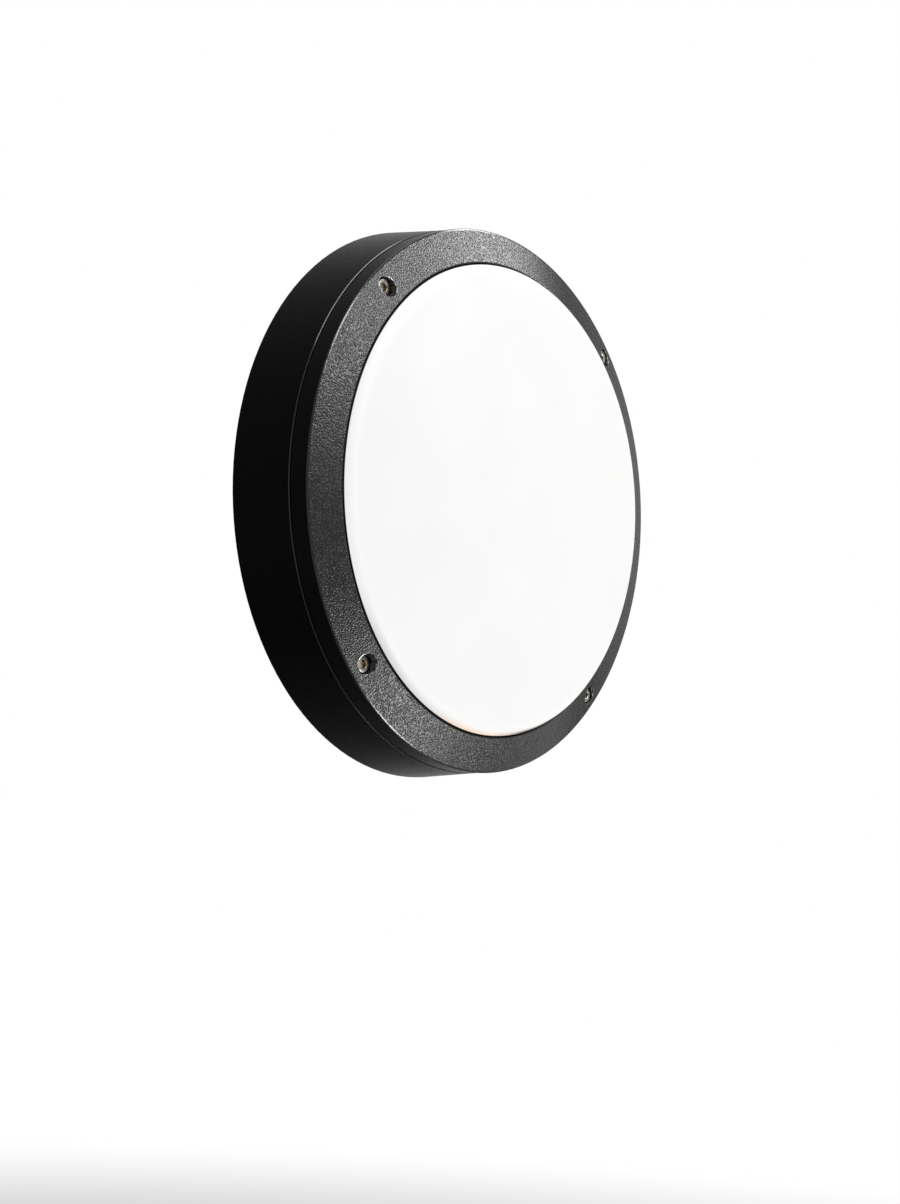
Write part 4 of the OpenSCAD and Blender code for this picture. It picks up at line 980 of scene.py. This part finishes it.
# %% Routes of the five wires: radius, slot and the points they pass
WIRES = {
    "live_wire": (1.2, "brown_wire", [
        (40.5, 24, 14), (46.5, 24, 14), (51, 18, 13), (51, 6, 11), (47, -12, 10), (42, -30, 10),
        (37, -50, 10), (31, -64, 10), (22, -71, 10), (14, -70, 12), (10, -64.5, 14), (10, -52.5, 14)]),
    "neutral_wire": (1.2, "blue_wire", [
        (40.5, 28, 14), (47, 28, 14), (54.5, 21, 13), (55, 6, 11), (51, -12, 10), (46, -30, 10),
        (40.6, -50, 10), (34, -67, 10), (22, -75.5, 10), (8, -75, 12), (1, -69.5, 13), (0, -63.5, 14),
        (0, -52.5, 14)]),
    "earth_wire": (1.2, "green_wire", [
        (-10, -52.5, 14), (-10, -63.5, 14), (-11, -70, 13), (-14.5, -75, 12.5), (-20, -75.5, 12.5),
        (-24, -69.86, 12.5), (-26, -66.39, 12.5), (-28, -62.93, 12.5)]),
    "led_positive_wire": (0.8, "red_wire", [
        (-40.5, 28, 14), (-46.5, 28, 14), (-70.48, 32.53, 14.5), (-82.69, 35.55, 24), (-82.69, 35.55, 31),
        (-80.77, 34.97, 35.6), (-76.46, 33.62, 35.9), (-72.22, 32.08, 34.7), (-67.6, 30.17, 34.7)]),
    "led_negative_wire": (0.8, "black_wire", [
        (-40.5, 24, 14), (-46.5, 24, 14), (-71.13, 29.6, 14.5), (-83.61, 33.33, 24), (-83.61, 33.33, 31),
        (-81.84, 32.38, 35.6), (-77.83, 30.29, 35.9), (-73.75, 28.38, 34.7), (-69.13, 26.47, 34.7)]),
}
for wire_name, (wire_r, wire_slot, stops) in WIRES.items():
    wire(wire_name, stops, wire_r, jackets[wire_name], wire_slot)

# %% [markdown]
# ## The LED packages
#
# Each package is a white frame three millimetres square with a round well, filled with yellow phosphor that
# rises a little towards its middle. The frame's square is a radius too: half the side, divided by the
# larger of |cos| and |sin|. Sixteen columns are enough for a piece this small that is repeated sixty times.

# %% One package
HALF_SIDE, PACKAGE_H, WELL_R, BOARD_TOP = 1.5, 0.7, 1.12, 32.6
SIXTEENTHS = np.radians(22.5) * np.arange(16)
square_r = HALF_SIDE / np.maximum(np.abs(np.cos(SIXTEENTHS)), np.abs(np.sin(SIXTEENTHS)))
package = [(0, 0), (square_r, 0), (square_r, PACKAGE_H - 0.08), (square_r * 0.94, PACKAGE_H),
           (WELL_R, PACKAGE_H), (WELL_R - 0.1, PACKAGE_H - 0.14), (0.7, PACKAGE_H - 0.09),
           (0, PACKAGE_H - 0.06)]
package_r = np.array([np.broadcast_to(r, SIXTEENTHS.shape) for r, h in package])
package_h = np.array([h for r, h in package])[:, None]
phosphor_mask = np.repeat([0, 0, 0, 0, 0, 1, 1, 1], 16)
print("points of a package:", package_r.size)

# %% Packages on four circles
LED_CIRCLES = (12, 5), (27, 12), (42, 18), (57, 25)
package_faces = grid_faces(len(package), 16)
led_surfaces = []
for circle_r, count in LED_CIRCLES:
    for k in range(count):
        x, y = circle_r + package_r * np.cos(SIXTEENTHS), package_r * np.sin(SIXTEENTHS)
        x, y = spun(x, y, k * 2 * np.pi / count)
        led_surfaces.append((upright(x, y, BOARD_TOP + package_h), package_faces))
make_piece("led_packages", led_surfaces, phosphor, "led_phosphor", "led_chips", sharp=40,
           masks={"phosphor": np.tile(phosphor_mask, len(led_surfaces))})

# %% [markdown]
# ## Floor, lamps and background
#
# The light hangs at its height on a wall that isn't drawn, over a pale floor. A key lamp in front, one
# above at the right and a long strip overhead show the ring's slope and edges, and a weak lamp from below
# fills the underside. The background's white is only seen, by the camera and in reflections: Light Path
# keeps it from lighting the object. The floor turns to the same white with distance, so no horizon shows,
# and keeps the object's shadow near by.

# %% Pale floor
FLOOR_Z, FLOOR_R = -0.50, 6
WHITE = (1, 1, 1, 1)
rim = np.linspace(0, 2 * np.pi, 128, endpoint=False)
disc = np.stack([FLOOR_R * np.cos(rim), FLOOR_R * np.sin(rim), np.full_like(rim, FLOOR_Z)], 1)
floor_mesh = bpy.data.meshes.new("floor")
floor_mesh.from_pydata(disc.tolist(), [], [list(range(len(rim)))])
floor = bpy.data.objects.new("floor", floor_mesh)
bpy.context.scene.collection.objects.link(floor)
print("floor at", FLOOR_Z)

# %% Floor colour, and white far away
floor_look = new_material("pale floor")
floor_shader, n = shader_and_nodes(floor_look)
floor_point = n.add("TexCoord").outputs["Object"]
n.link(n.mix(n.noise(floor_point, 6.0, 3.0), grey(0.80), grey(0.84)), floor_shader.inputs["Base Color"])
floor_shader.inputs["Roughness"].default_value = 0.8
floor_shader.inputs["Specular IOR Level"].default_value = 0.1
distance = n.add("VectorMath", props={"operation": "LENGTH"}, at={0: floor_point}).outputs["Value"]
white_part = n.math("MULTIPLY", n.fit(distance, 0.60, 1.40), n.seen())
white_light = n.add("Emission", Color=WHITE, Strength=1.0).outputs[0]
floor_surface = n.add("MixShader", at={0: white_part, 1: floor_shader.outputs[0], 2: white_light}).outputs[0]
floor_output = next(node for node in floor_look.node_tree.nodes if node.type == "OUTPUT_MATERIAL")
n.link(floor_surface, floor_output.inputs["Surface"])
floor_mesh.materials.append(floor_look)
print("floor's nodes:", len(floor_look.node_tree.nodes))

# %% Soft lamps
def soft_lamp(name, at, size, watts, spread=180, along=(1, 0, 0)):
    """Rectangular area lamp at a point, facing the light's centre, its long side along a direction."""
    data = bpy.data.lights.new(name, "AREA")
    data.shape, data.size, data.size_y = "RECTANGLE", *size
    data.energy, data.spread = watts, math.radians(spread)
    lamp = bpy.data.objects.new(name, data)
    lamp.visible_camera = False
    back = Vector(at).normalized()
    across = back.cross(Vector(along)).normalized()
    turn = Matrix((across.cross(back), across, back)).transposed()
    lamp.matrix_world = Matrix.Translation(at) @ turn.to_4x4()
    bpy.context.scene.collection.objects.link(lamp)


soft_lamp("key", (0.22, -1.12, 0.66), (0.36, 0.36), 10.5)
soft_lamp("top", (0.82, -0.56, 0.84), (0.34, 0.34), 7.5)
soft_lamp("low", (0.335, -0.66, -0.42), (0.20, 0.20), 0.75, spread=70)
soft_lamp("strip", (-0.13, -0.40, 0.94), (0.95, 0.18), 5.5, along=(0.855, 0.444, 0.267))

# %% Room light and white background
ROOM_LIGHT = 0.10
world = bpy.data.worlds.new("studio")
bpy.context.scene.world = world
world.use_nodes = True
world.node_tree.nodes.clear()
n = Nodes(world.node_tree)
room = n.add("Background", Color=WHITE, Strength=ROOM_LIGHT).outputs[0]
background = n.add("Background", Color=WHITE, Strength=1.0).outputs[0]
world_surface = n.add("MixShader", at={0: n.seen(), 1: room, 2: background}).outputs[0]
n.link(world_surface, world.node_tree.nodes.new("ShaderNodeOutputWorld").inputs["Surface"])
bpy.context.scene.view_settings.view_transform = "Standard"
print("room light:", ROOM_LIGHT)
